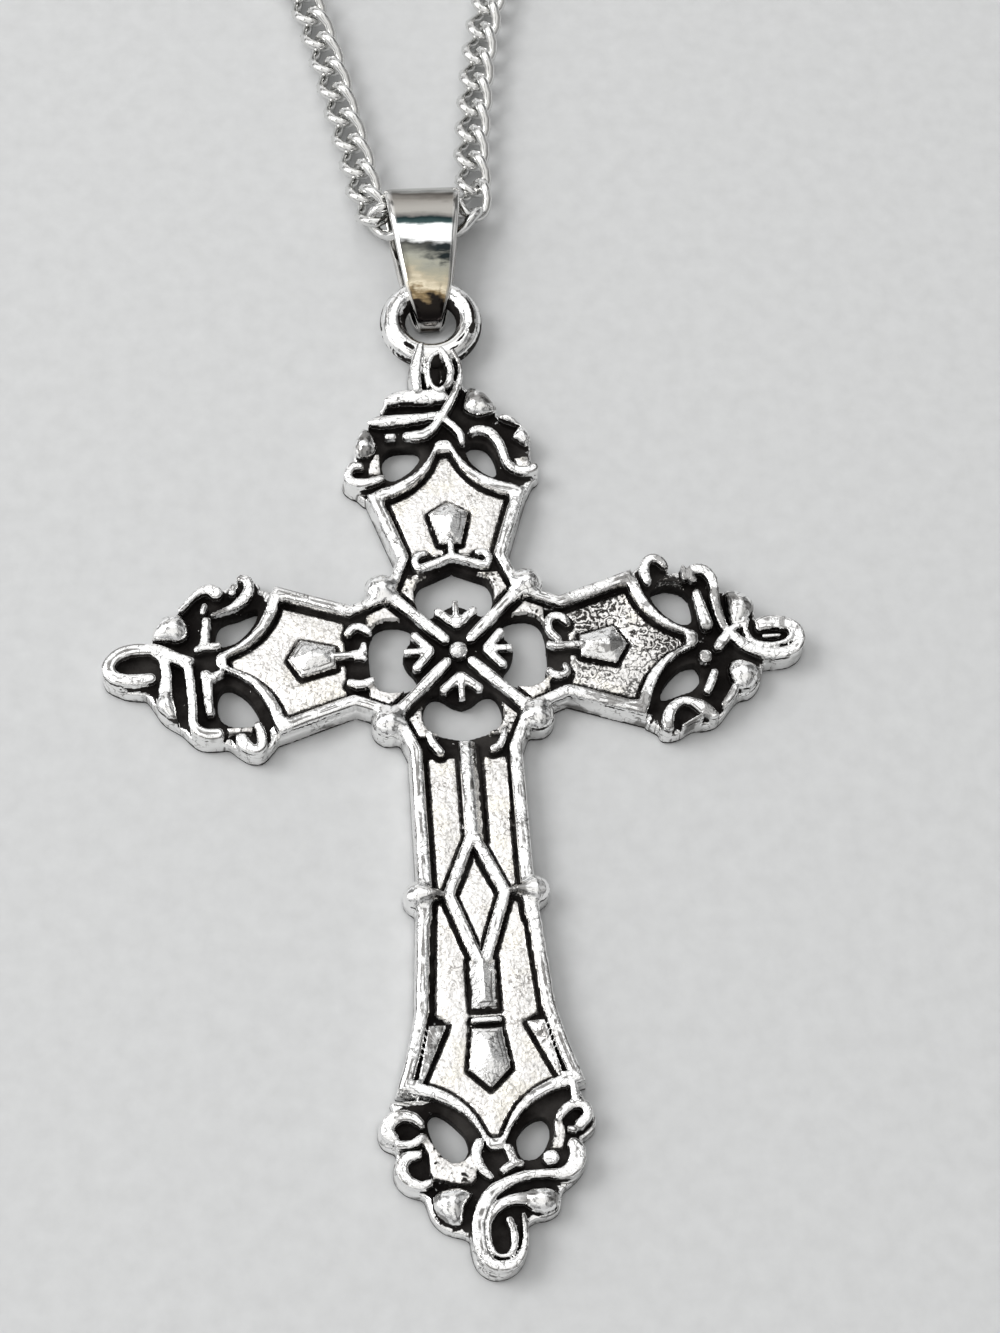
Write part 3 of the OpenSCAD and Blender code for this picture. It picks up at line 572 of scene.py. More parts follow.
def net_of(field, corner, cell):
    """A closed mesh on the zero level of a field sampled on a grid, less than zero inside."""
    inside = field < 0
    corners = [(i, j, k) for i in (0, 1) for j in (0, 1) for k in (0, 1)]
    n = np.array(field.shape) - 1

    def at(a, c):
        return a[c[0]:c[0] + n[0], c[1]:c[1] + n[1], c[2]:c[2] + n[2]]

    count = sum(at(inside, c).astype(np.int8) for c in corners)
    ids = np.full(n, -1, np.int64)
    cells = np.argwhere((count > 0) & (count < 8))
    ids[tuple(cells.T)] = np.arange(len(cells))
    values = np.stack([field[tuple((cells + c).T)] for c in corners], 1)
    total = np.zeros((len(cells), 3))
    hits = np.zeros(len(cells))
    for a, ca in enumerate(corners):
        for b, cb in enumerate(corners):
            if b > a and sum(abs(p - q) for p, q in zip(ca, cb)) == 1:
                cut = (values[:, a] < 0) != (values[:, b] < 0)
                t = values[:, a] / np.where(cut, values[:, a] - values[:, b], 1)
                place = np.array(ca) + t[:, None] * (np.array(cb) - np.array(ca))
                total += np.where(cut[:, None], place, 0)
                hits += cut
    points = corner + cell * (cells + total / hits[:, None])
    quads = []
    for axis in range(3):
        step, p, q = np.roll(np.eye(3, dtype=int), -axis, 0)
        low = inside[tuple(slice(0, m - s) for m, s in zip(inside.shape, step))]
        high = inside[tuple(slice(s, m) for m, s in zip(inside.shape, step))]
        for sign in (True, False):
            e = np.argwhere((low != high) & (low == sign))
            e = e[(e[:, (axis + 1) % 3] > 0) & (e[:, (axis + 2) % 3] > 0)]
            ring = [e - p - q, e - q, e, e - p] if sign else [e - p, e, e - q, e - p - q]
            quads.append(np.stack([ids[tuple(c.T)] for c in ring], 1))
    return points, np.vstack(quads)


def mesh_object(name, points, faces):
    """A smooth-shaded object from arrays of points and faces."""
    mesh = bpy.data.meshes.new(name)
    mesh.from_pydata(points.tolist(), [], faces.tolist())
    mesh.validate()
    obj = bpy.data.objects.new(name, mesh)
    bpy.context.scene.collection.objects.link(obj)
    mesh.polygons.foreach_set("use_smooth", np.ones(len(mesh.polygons), bool))
    mesh.update()
    return obj


def settle(obj):
    """Turns an object with modifiers into a plain mesh."""
    dg = bpy.context.evaluated_depsgraph_get()
    plain = bpy.data.meshes.new_from_object(obj.evaluated_get(dg))
    obj.modifiers.clear()
    old = obj.data
    obj.data = plain
    bpy.data.meshes.remove(old)


# Beads at the crossing's corners: how far out both ways, radius, foot and height of the round top
BEADS = [5.15, 1.22, 1.45, 1.12]
# Balls at the shaft's sides: x, y, radius and foot of the round top
BALLS = [4.0, -17.95, 0.95, 1.6]
# Boss in the middle: radius and height of its centre
BOSS = [0.72, 1.8]
# Hanging ring: x, y, z, radius of its middle line and of its wire
RING = [-0.2, 27.35, 1.5, 2.85, 0.95]
# Slope of the casting's walls over their height, underside of what crosses a window, fillet of the lumps
DRAFT = 0.12
UNDERSIDE = 0.9
FILLET = 0.4
CROSS_TRIANGLES = 190000


def knob(across, h, radius, foot, high):
    """Distance to a round-topped peg whose side goes straight down."""
    top = (np.hypot(across / radius, np.maximum(h - foot, 0) / high) - 1) * radius
    return np.where(h > foot, top, across - radius)


def merged(a, b, soft):
    """The smaller of two fields, with a fillet where they meet."""
    near = np.maximum(soft - np.abs(a - b), 0) / soft
    return np.minimum(a, b) - near * near * soft / 4


def build_cross(metal):
    """The casting: its height map turned into a field with rounded lumps, and that into a mesh."""
    r = cross_relief()
    ground, frost = ground_height(r)
    z = np.arange(-0.25, 3.0, CELL)
    field = np.empty((*r.shape, len(z)), np.float32)
    gx, gy = r.grid()
    bead = np.hypot(np.abs(gx) - BEADS[0], np.abs(gy) - BEADS[0])
    ball = np.hypot(np.abs(gx) - BALLS[0], gy - BALLS[1])
    boss = np.hypot(gx, gy)
    for k, h in enumerate(z):
        draft = DRAFT * np.clip(h / TOP, 0, 1)
        plate = np.maximum(np.maximum(r.outline + draft, h - ground), -r.hole)
        raised = np.maximum(np.maximum(r.raised, h - r.crown), r.outline + draft * 0.5)
        raised = np.maximum(raised, np.where(r.hole < 0, UNDERSIDE - h, -FAR_OFF))
        lumps = np.minimum(knob(bead, h, *BEADS[1:]), knob(ball, h, BALLS[2], BALLS[3], BALLS[2]))
        lumps = merged(np.minimum(plate, raised), lumps, FILLET)
        field[:, :, k] = np.maximum(np.minimum(lumps, np.sqrt(boss ** 2 + (h - BOSS[1]) ** 2) - BOSS[0]), -h)
    points, faces = net_of(field, np.array([r.x[0], r.y[0], z[0]]), CELL)
    cross = mesh_object("cross_casting", points, faces)
    thin = cross.modifiers.new("thin", "DECIMATE")
    thin.ratio = CROSS_TRIANGLES / (2 * len(faces))
    settle(cross)
    ring = hanging_ring()
    paint_cross(cross, r, frost)
    paint_ring(ring)
    join_into(cross, [ring])
    cross.data.transform(Matrix.Scale(MM, 4))
    cross.data.materials.clear()
    cross.data.materials.append(metal)
    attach(cross, "root")
    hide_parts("cross")


def hanging_ring(rows=160, sides=40):
    """The round ring at the top, which the bail goes through."""
    x, y, z, radius, wire = RING
    a = np.linspace(0, 2 * math.pi, rows, endpoint=False)
    b = np.linspace(0, 2 * math.pi, sides, endpoint=False)
    aa, bb = np.meshgrid(a, b, indexing="ij")
    out = radius + wire * np.cos(bb)
    points = np.stack([x + out * np.cos(aa), y + out * np.sin(aa), z + wire * np.sin(bb)], -1)
    return mesh_object("hanging_ring", points.reshape(-1, 3), tube_faces(rows, sides))


def tube_faces(rows, sides):
    """Faces of a tube that closes on itself, from rows of points round its sides."""
    i, j = np.meshgrid(np.arange(rows), np.arange(sides), indexing="ij")
    i2, j2 = (i + 1) % rows, (j + 1) % sides
    return np.stack([i * sides + j, i2 * sides + j, i2 * sides + j2, i * sides + j2], -1).reshape(-1, 4)


def join_into(target, others):
    """Makes the others part of the target's mesh."""
    bpy.ops.object.select_all(action="DESELECT")
    for o in others + [target]:
        o.select_set(True)
    bpy.context.view_layer.objects.active = target
    bpy.ops.object.join()


def points_of(obj):
    """The mesh's points as rows of x, y, z."""
    co = np.empty(len(obj.data.vertices) * 3)
    obj.data.vertices.foreach_get("co", co)
    return co.reshape(-1, 3)


def paint(obj, name, values):
    """Keeps a number for each point of a mesh, for the materials to read."""
    layer = obj.data.attributes.get(name) or obj.data.attributes.new(name, "FLOAT", "POINT")
    layer.data.foreach_set("value", np.asarray(values, np.float32))


def paint_cross(obj, r, frost):
    """Marks frosted floors, outer walls and lumps, and how far inside a raised part each place is."""
    co = points_of(obj)
    cell = (co[:, :2] - [r.x[0], r.y[0]]) / CELL
    i, j = np.clip(np.rint(cell).astype(int), 0, np.array(r.shape) - 1).T
    # How far inside a raised part's edge, blended between the map's cells
    low, left = np.clip(np.floor(cell).astype(int), 0, np.array(r.shape) - 2).T
    up, right = np.clip(cell.T - [low, left], 0, 1)
    far = ((r.raised[low, left] * (1 - right) + r.raised[low, left + 1] * right) * (1 - up)
           + (r.raised[low + 1, left] * (1 - right) + r.raised[low + 1, left + 1] * right) * up)
    lump = np.hypot(np.abs(co[:, 0]) - BEADS[0], np.abs(co[:, 1]) - BEADS[0]) < BEADS[1] + 0.1
    lump |= np.hypot(np.abs(co[:, 0]) - BALLS[0], co[:, 1] - BALLS[1]) < BALLS[2] + 0.1
    outer = (r.outline[i, j] > -0.25) | (lump & (r.outline[i, j] > -0.8))
    paint(obj, "outer", outer & (r.hole[i, j] > 0.3))
    paint(obj, "frost", frost[i, j] * (co[:, 2] < 2.02))
    paint(obj, "inward", np.where(lump, FAR_OFF, far))
    paint(obj, "gloss", lump | r.gloss[i, j])
    paint(obj, "oxide_and_shade", 0.36 * ((frost[i, j] > 0.5) & (co[:, 2] > 1.6)))


# Dark patches along the ring's wire: angle, share of the wire's radius outward, half sizes of both, strength
RING_DARK_PATCHES = [[8, 0.3, 22, 0.13, 1.5], [-20, 0.35, 9, 0.2, 1.5], [-44, 0.05, 13, 0.1, 1.3],
               [-60, 0.3, 9, 0.08, 1.1], [185, -0.5, 30, 0.09, 1.3], [-126, 0.15, 10, 0.2, 1.2]]


def paint_ring(ring):
    """The hanging ring's dark marks: painted shade inside its upper half and along its widest line, and dark
    patches.
    """
    x, y, z = (points_of(ring) - RING[:3]).T
    out = (np.hypot(x, y) - RING[3]) / RING[4]
    # Painted shade on the inner side of the upper half, and a painted dark line along the widest line
    inner_shade = np.clip((-out - 0.5) / 0.3, 0, 1) * np.clip((y + 1.2) / 0.6, 0, 1)
    widest_shade = 0.62 * (out > 0.88) * (np.abs(z) < 0.4)
    dark = np.maximum(inner_shade, widest_shade)
    angle = np.degrees(np.arctan2(y, x))
    spots = [(np.hypot(((angle - at + 180) % 360 - 180) / turn, (out - share) / across), much)
             for at, share, turn, across, much in RING_DARK_PATCHES]
    # The neck's eye reaches over the ring
    spots.append((np.hypot((x - 0.17) / 0.6, (y + 4.65) / 1.35), 1.5))
    for spot, much in spots:
        dark = np.maximum(dark, much * np.clip(1.4 - spot, 0, 1) * (z > 0))
    paint(ring, "oxide_and_shade", dark)
    for name, number in (("outer", 1.0), ("frost", 0.0), ("inward", FAR_OFF), ("gloss", 1.0)):
        paint(ring, name, np.full(len(x), number))


# Bail

# The outer face seen from the side: y and z, from the foot up the front and down the back
BAIL_SIDE = [[27.2, 0.75], [28.0, 1.95], [29.3, 2.8], [31.0, 3.45], [33.5, 4.05], [36.0, 4.35],
             [37.7, 3.95], [38.6, 2.9], [38.65, 1.6], [37.8, 0.5], [36.0, 0.05], [32.0, 0.02],
             [28.6, 0.02], [27.5, 0.12], [27.2, 0.75]]
# Half width at each y
BAIL_HALF = [[27.0, 0.75], [28.0, 1.2], [29.8, 1.75], [32.5, 2.2], [35.2, 2.6], [37.5, 2.85],
             [39.0, 2.9]]
# The x of its middle line, and the sheet's thickness
BAIL_X = -0.25
BAIL_SHEET = 0.45


def build_bail(metal):
    """A tapered strip of sheet folded into a loop, with rounded edges."""
    side = smooth(BAIL_SIDE, 6)[:-1]
    ahead = np.roll(side, -1, 0) - np.roll(side, 1, 0)
    ahead /= np.linalg.norm(ahead, axis=1)[:, None]
    inward = np.column_stack([ahead[:, 1], -ahead[:, 0]])
    half = np.interp(side[:, 0], *np.array(BAIL_HALF).T)
    # Across the strip: share of the half width, and depth below the outer face
    section = [[-1.0, 0.30], [-0.985, 0.16], [-0.93, 0.06], [-0.8, 0.0], [-0.4, 0.0], [0, 0.0],
               [0.4, 0.0], [0.8, 0.0], [0.93, 0.06], [0.985, 0.16], [1.0, 0.30], [0.97, 0.42],
               [0.9, BAIL_SHEET], [0.4, BAIL_SHEET], [0, BAIL_SHEET], [-0.4, BAIL_SHEET],
               [-0.9, BAIL_SHEET], [-0.97, 0.42]]
    points = np.array([[[BAIL_X + s * w, p[0] + n[0] * d, p[1] + n[1] * d] for s, d in section]
                       for p, n, w in zip(side, inward, half)])
    bail = mesh_object("bail_strip", points.reshape(-1, 3) * MM, tube_faces(*points.shape[:2]))
    bail.data.materials.append(metal)
    share = np.tile([abs(s) for s, _ in section], len(points))
    paint(bail, "edge", np.clip((share - 0.86) / 0.08, 0, 1))
    # Marks the front leaf, which gets the painted reflections; the back leaf gets painted shade
    limit = np.interp(points[..., 1], [27, 29, 37, 39], [0.9, 1.4, 2.2, 2.2])
    paint(bail, "front", (points[..., 2] > limit).ravel())
    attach(bail, "root")
    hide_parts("bail")


# Chain

# Half thickness of the twisted links' wire, and of the two round end links' wire
WIRE = 0.39
END_WIRE = 0.27
# Twisted links: about how far it is from one to the next, half width at the wire's middle, twist,
# and how far they lie over, which fades within LEAN_FADE of the chain's middle
PITCH = 2.55
LINK_HALF = 1.1
TWIST = math.radians(-45)
LEAN = math.radians(27)
LEAN_FADE = 4.0
# End links: x of each, radius, height, and how far they are tipped
LEFT_END = -6.1
RIGHT_END = 6.16
END_LINK = 1.25
END_Z = 1.45
END_TIP = math.radians(-40)
# The chain's far side, and the height of the links' middle line where they lie on the floor
FAR_Y = 222.5
LINK_Z = 1.24
# The links' middle line: from the clasp down the left, through the bail and back up the right
COURSE = [
    [LEFT_END - END_LINK, FAR_Y, END_Z], [-11, FAR_Y, 1.42], [-21, 220, LINK_Z], [-37, 209, LINK_Z],
    [-47, 188, LINK_Z], [-47, 162, LINK_Z], [-38, 131, LINK_Z], [-25.5, 101, LINK_Z],
    [-14, 76, LINK_Z], [-8.1, 57.7, LINK_Z], [-5.5, 45.3, LINK_Z], [-4.75, 41.2, 1.35],
    [-4.45, 38.9, 1.5], [-3.7, 36.9, 1.9], [-2.2, 36.1, 2.1], [-0.2, 36.0, 2.15],
    [1.7, 36.1, 2.1], [3.2, 36.9, 1.9], [3.9, 38.9, 1.5], [3.9, 41.2, 1.35],
    [4.25, 45.6, LINK_Z], [6.25, 57.4, LINK_Z],
    [12, 76, LINK_Z], [23.5, 101, LINK_Z], [37, 131, LINK_Z], [47, 162, LINK_Z],
    [47, 188, LINK_Z], [37, 209, LINK_Z], [21, 220, LINK_Z], [11, FAR_Y, 1.42],
    [RIGHT_END + END_LINK, FAR_Y, END_Z]]


def link_line(steps=22):
    """The middle line of one link, twisted so that neighbouring links lie in each other."""
    t = (np.arange(steps) + 0.5) * 2 * math.pi / steps
    ahead, side = np.cos(t), np.sin(t)
    turn = TWIST * np.sign(ahead) * np.sqrt(np.abs(ahead))
    ahead = (PITCH / 2 + WIRE + 0.05) * np.sign(ahead) * np.abs(ahead) ** 0.85
    side = LINK_HALF * np.sign(side) * np.abs(side) ** 0.85
    return np.column_stack([ahead, side * np.cos(turn), side * np.sin(turn)])


def link_mesh(sides=8):
    """One twisted link, set up lengthways along X."""
    line = link_line()
    ahead = np.roll(line, -1, 0) - np.roll(line, 1, 0)
    ahead /= np.linalg.norm(ahead, axis=1)[:, None]
    out = line - line.mean(0)
    out -= (out * ahead).sum(1)[:, None] * ahead
    out /= np.linalg.norm(out, axis=1)[:, None]
    up = np.cross(ahead, out)
    a = np.arange(sides) * 2 * math.pi / sides
    ring = np.cos(a)[None, :, None] * out[:, None] - np.sin(a)[None, :, None] * up[:, None]
    points = (line[:, None] + WIRE * ring).reshape(-1, 3) * MM
    return mesh_object("link", points, tube_faces(len(line), sides))


def link_places():
    """Middle and direction of each link, one pitch apart along the chain's course."""
    line = smooth(COURSE, 24)
    step = np.linalg.norm(np.diff(line, axis=0), axis=1)
    run = np.concatenate([[0], np.cumsum(step)])
    count = int(round(run[-1] / PITCH))
    at = (np.arange(count) + 0.5) * run[-1] / count
    pick = lambda s: np.column_stack([np.interp(s, run, line[:, k]) for k in range(3)])
    return pick(at), pick(at + 0.4) - pick(at - 0.4)


def chain_tree():
    """Links set on the points of the course, turned along it."""
    tree = bpy.data.node_groups.new("links_on_course", "GeometryNodeTree")
    face = tree.interface
    face.new_socket("Geometry", in_out="INPUT", socket_type="NodeSocketGeometry")
    face.new_socket("Link", in_out="INPUT", socket_type="NodeSocketObject")
    face.new_socket("Link size", in_out="INPUT", socket_type="NodeSocketFloat")
    face.new_socket("Metal", in_out="INPUT", socket_type="NodeSocketMaterial")
    face.new_socket("Geometry", in_out="OUTPUT", socket_type="NodeSocketGeometry")
    node = tree.nodes.new
    given, made = node("NodeGroupInput"), node("NodeGroupOutput")
    info, turn = node("GeometryNodeObjectInfo"), node("GeometryNodeInputNamedAttribute")
    turn.data_type = "FLOAT_VECTOR"
    turn.inputs["Name"].default_value = "along"
    align = node("FunctionNodeAlignRotationToVector")
    align.axis = "X"
    align.pivot_axis = "AUTO"
    lean, spin = node("GeometryNodeInputNamedAttribute"), node("FunctionNodeAxisAngleToRotation")
    lean.data_type = "FLOAT"
    lean.inputs["Name"].default_value = "lean"
    spin.inputs["Axis"].default_value = (1, 0, 0)
    leant = node("FunctionNodeRotateRotation")
    leant.rotation_space = "LOCAL"
    put, real = node("GeometryNodeInstanceOnPoints"), node("GeometryNodeRealizeInstances")
    metal = node("GeometryNodeSetMaterial")
    join = tree.links.new
    join(given.outputs["Link"], info.inputs["Object"])
    join(turn.outputs["Attribute"], align.inputs["Vector"])
    join(given.outputs["Geometry"], put.inputs["Points"])
    join(info.outputs["Geometry"], put.inputs["Instance"])
    join(lean.outputs["Attribute"], spin.inputs["Angle"])
    join(align.outputs["Rotation"], leant.inputs["Rotation"])
    join(spin.outputs["Rotation"], leant.inputs["Rotate By"])
    join(leant.outputs["Rotation"], put.inputs["Rotation"])
    join(given.outputs["Link size"], put.inputs["Scale"])
    join(put.outputs["Instances"], real.inputs["Geometry"])
    join(real.outputs["Geometry"], metal.inputs["Geometry"])
    join(given.outputs["Metal"], metal.inputs["Material"])
    join(metal.outputs["Geometry"], made.inputs["Geometry"])
    return tree


def set_inputs(modifier, **values):
    """Sets a modifier's inputs by their sockets' identifiers."""
    for item in modifier.node_group.interface.items_tree:
        name = item.name.replace(" ", "_")
        if item.in_out == "INPUT" and name in values:
            modifier[item.identifier] = values[name]


def end_ring(x, rows=28, sides=8):
    """The round link at one end of the chain, tipped as it lies in the jump ring."""
    a, b = np.meshgrid(np.arange(rows) * 2 * math.pi / rows, np.arange(sides) * 2 * math.pi / sides,
                       indexing="ij")
    out = END_LINK + END_WIRE * np.cos(b)
    y, z = out * np.sin(a), END_WIRE * np.sin(b)
    points = np.stack([x + out * np.cos(a), FAR_Y + y * math.cos(END_TIP) - z * math.sin(END_TIP),
                       END_Z + y * math.sin(END_TIP) + z * math.cos(END_TIP)], -1)
    return mesh_object("end_ring", points.reshape(-1, 3) * MM, tube_faces(rows, sides))


def build_chain(metal):
    """All links as one piece: a copy of the link on each place, and the two end links."""
    places, ahead = link_places()
    chain = mesh_object("curb_chain", places * MM, np.zeros((0, 3), int))
    along = chain.data.attributes.new("along", "FLOAT_VECTOR", "POINT")
    along.data.foreach_set("vector", (ahead / np.linalg.norm(ahead, axis=1)[:, None]).ravel())
    paint(chain, "lean", LEAN * np.clip(-places[:, 0] / LEAN_FADE, -1, 1))
    link = link_mesh()
    run = chain.modifiers.new("links", "NODES")
    run.node_group = chain_tree()
    set_inputs(run, Link=link, Link_size=1.0, Metal=metal)
    settle(chain)
    bpy.data.objects.remove(link)
    join_into(chain, [end_ring(x) for x in (LEFT_END, RIGHT_END)])
    chain.data.materials.clear()
    chain.data.materials.append(metal)
    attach(chain, "root")
    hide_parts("chain")


# Materials

class Shader:
    """The nodes of a material or of the room, with short calls for the sums they are made of."""

    def __init__(self, tree):
        self.new = tree.nodes.new
        self.join = tree.links.new

    def put(self, v, socket):
        """Links a socket to another, or sets a number or a colour on it."""
        if isinstance(v, bpy.types.NodeSocket):
            self.join(v, socket)
        else:
            socket.default_value = (*v, 1) if isinstance(v, tuple) else v

    def place(self):
        """Where each spot of a piece is, in metres."""
        return self.new("ShaderNodeTexCoord").outputs["Object"]

    def axes(self, vector):
        split = self.new("ShaderNodeSeparateXYZ")
        self.join(vector, split.inputs["Vector"])
        return [split.outputs[n] for n in "XYZ"]

    def vector_math(self, operation, vector, numbers):
        n = self.new("ShaderNodeVectorMath")
        n.operation = operation
        self.join(vector, n.inputs[0])
        n.inputs[1].default_value = numbers
        return n

    def attribute(self, name):
        n = self.new("ShaderNodeAttribute")
        n.attribute_name = name
        return n.outputs["Fac"]

    def noise(self, place, scale, detail):
        n = self.new("ShaderNodeTexNoise")
        n.inputs["Scale"].default_value = scale
        n.inputs["Detail"].default_value = detail
        self.join(place, n.inputs["Vector"])
        return n.outputs["Fac"]

    def math(self, operation, *values):
        n = self.new("ShaderNodeMath")
        n.operation = operation
        for v, socket in zip(values, n.inputs):
            self.put(v, socket)
        return n.outputs[0]

    def times(self, first, *more):
        for v in more:
            first = self.math("MULTIPLY", first, v)
        return first

    def most(self, first, *more):
        for v in more:
            first = self.math("MAXIMUM", first, v)
        return first

    def scaled(self, v, by, plus):
        return self.math("MULTIPLY_ADD", v, by, plus)

    def off(self, v, middle):
        """How far a value is from a middle, either way."""
        return self.math("ABSOLUTE", self.math("SUBTRACT", v, middle))

    def rest(self, v):
        return self.math("SUBTRACT", 1.0, v)

    def between(self, v, low, high, first=0.0, last=1.0):
        """A value carried from one range to another and held at its ends."""
        n = self.new("ShaderNodeMapRange")
        for name, number in (("From Min", low), ("From Max", high), ("To Min", first), ("To Max", last)):
            n.inputs[name].default_value = number
        self.join(v, n.inputs["Value"])
        return n.outputs["Result"]

    def blend(self, share, a, b):
        """Colour a where the share is 0 and b where it is 1."""
        n = self.new("ShaderNodeMix")
        n.data_type = "RGBA"
        for name, v in (("Factor", share), ("A", a), ("B", b)):
            self.put(v, n.inputs[name])
        return n.outputs["Result"]

    def bands(self, share, bands, low, high):
        """A row of colours over a range of values."""
        ramp = self.new("ShaderNodeValToRGB")
        while len(ramp.color_ramp.elements) < len(bands):
            ramp.color_ramp.elements.new(0.5)
        for e, (at, colour) in zip(ramp.color_ramp.elements, bands):
            e.position = (at - low) / (high - low)
            e.color = (*colour, 1)
        self.join(share, ramp.inputs["Fac"])
        return ramp.outputs["Color"]

    def bump(self, skin, height, strength, distance):
        n = self.new("ShaderNodeBump")
        n.inputs["Distance"].default_value = distance
        self.put(strength, n.inputs["Strength"])
        self.join(height, n.inputs["Height"])
        self.join(n.outputs["Normal"], skin.inputs["Normal"])


def new_finish(name):
    """A new material, its nodes and its surface."""
    m = bpy.data.materials.new(name)
    m.use_nodes = True
    return m, Shader(m.node_tree), m.node_tree.nodes["Principled BSDF"]


# Colours of the cast silver: polished, frosted, yellowed frost, dark lines that are partly scratches and
# partly painted reflections, crinkles, and oxide, which also gives the painted shade and painted shadow
SILVER = (0.96, 0.957, 0.95)
FROSTED = (0.95, 0.93, 0.905)
YELLOWED = (0.97, 0.91, 0.74)
DARK_SCRATCH_AND_REFLECTION = (0.15, 0.143, 0.136)
FAINT_CRINKLE = (0.26, 0.24, 0.22)
DARK_CRINKLE = (0.045, 0.042, 0.039)
OXIDE_AND_SHADE = (0.011, 0.0095, 0.009)
DUSTY_OXIDE_AND_SHADE = (0.04, 0.037, 0.035)


def oxide_and_shade_share(s, z, oxide_and_shade, outer, floors, grain, cloud):
    """Oxide fills what is low, but not the frosted floors and the outer walls; the share also carries the
    hanging ring's painted shade and a painted shadow at the foot of the outer walls.
    """
    hollow = s.times(s.between(z, 0.0015, 0.0019, 1.0, 0.0), s.rest(outer), s.rest(floors))
    # On the outer walls the dark share keeps to a line just below the top, and the foot of the wall gets a
    # painted shadow where it meets the floor
    seam = s.times(s.between(s.off(z, 0.00182), 0.00006, 0.0002, 0.5, 0.0), outer)
    foot = s.times(s.between(z, 0.00015, 0.0004, 0.85, 0.0), outer)
    # It creeps unevenly past the edge of each hollow
    creep = s.scaled(cloud, 1.5, -0.75)
    creep = s.scaled(grain, 1.2, s.math("ADD", creep, -0.6))
    return s.between(s.math("ADD", s.most(hollow, oxide_and_shade, seam, foot), creep), 0.42, 0.56)


def crinkles(s, place, y, cloud, tarnish):
    """Thin curling lines of the frosted floors, dark and thick on the right arm."""
    faint = s.math("PINGPONG", s.noise(place, 1500, 2), 0.085)
    faint = s.times(s.between(faint, 0.006, 0.035, 1.0, 0.0), s.between(cloud, 0.35, 0.65, 0.15, 0.8))
    curls = s.math("PINGPONG", s.noise(place, 1150, 4), 0.07)
    curls = s.scaled(s.noise(place, 260, 2), -0.12, s.math("ADD", curls, 0.06))
    curls = s.times(s.between(curls, 0.014, 0.045), s.between(y, -0.004, 0.0, 0.85, 1.0))
    return s.most(s.times(faint, s.rest(tarnish)), s.times(curls, tarnish))


def scratch_and_reflection_share(s, place, cloud, tarnish, frost, outer, inward, gloss):
    """Hair lines and lines along the edges, partly scratches and partly painted dark reflections, and
    painted dark reflections as patches in what is polished.
    """
    hair = s.between(s.off(s.noise(place, 1000, 2), 0.5), 0.005, 0.018, 0.85, 0.0)
    hair = s.times(hair, s.between(cloud, 0.42, 0.52))
    # Painted dark reflections along the rims, a line inside each raised part's edge
    edge = s.math("PINGPONG", s.scaled(cloud, 0.3, inward), 0.13)
    edge = s.times(s.between(edge, 0.02, 0.06, 0.9, 0.0), s.between(s.noise(place, 650, 3), 0.48, 0.54),
                   s.between(inward, -0.54, -0.48), s.rest(gloss))
    # Painted dark reflections in patches on what is polished and on the tarnished arm
    painted_reflection_patches = s.times(s.between(s.noise(place, 620, 2), 0.54, 0.57, 0.0, 0.8),
                      s.most(gloss, s.times(tarnish, 0.9)), s.rest(s.most(frost, outer)))
    return s.most(s.times(s.most(hair, edge), s.rest(frost)), painted_reflection_patches)


def antique_silver():
    """Bright worn relief with scratches and painted dark reflections, near-black oxide in the hollows with
    painted shade and a painted shadow at the walls' foot, frosted floors.
    """
    m, s, skin = new_finish("antique_silver")
    place = s.place()
    x, y, z = s.axes(place)
    oxide_and_shade, soft, outer, inward, gloss = (
        s.attribute(n) for n in ("oxide_and_shade", "frost", "outer", "inward", "gloss"))
    grain, cloud = s.noise(place, 2900, 3), s.noise(place, 420, 4)
    # The frost's edge is ragged
    frost = s.between(s.scaled(grain, 1.6, s.math("ADD", soft, -0.8)), 0.3, 0.42)
    floors = s.times(frost, s.between(s.scaled(grain, 0.0009, z), 0.0016, 0.0017))
    # Oxide, with the ring's painted shade and a painted shadow at the walls' foot
    dark = oxide_and_shade_share(s, z, oxide_and_shade, outer, floors, grain, cloud)
    # The right arm is the most tarnished
    tarnish = s.between(x, 0.0065, 0.0085)
    line = s.times(crinkles(s, place, y, cloud, tarnish), floors)
    # Scratches and painted dark reflections on the bright metal
    scratches_and_reflections = scratch_and_reflection_share(s, place, cloud, tarnish, frost, outer, inward, gloss)
    floor = s.blend(s.between(s.noise(place, 480, 2), 0.52, 0.66, 0.0, 0.32), FROSTED, YELLOWED)
    bright = s.blend(scratches_and_reflections, s.blend(frost, SILVER, floor), DARK_SCRATCH_AND_REFLECTION)
    clean = s.blend(line, bright, s.blend(tarnish, FAINT_CRINKLE, DARK_CRINKLE))
    black = s.blend(s.between(cloud, 0.45, 0.68), OXIDE_AND_SHADE, DUSTY_OXIDE_AND_SHADE)
    s.join(s.blend(dark, clean, black), skin.inputs["Base Color"])
    bare = s.rest(dark)
    s.join(bare, skin.inputs["Metallic"])
    s.join(s.scaled(bare, 0.46, 0.02), skin.inputs["Specular IOR Level"])
    rough = s.scaled(frost, 0.2, s.scaled(gloss, -0.08, 0.14))
    s.join(s.scaled(dark, 0.35, rough), skin.inputs["Roughness"])
    calm = s.times(s.between(gloss, 0.0, 1.0, 1.0, 0.4), s.between(outer, 0.0, 1.0, 1.0, 0.4))
    s.bump(skin, s.scaled(cloud, 1.5, grain), s.times(s.scaled(frost, 0.12, 0.35), calm), 0.00025)
    return m


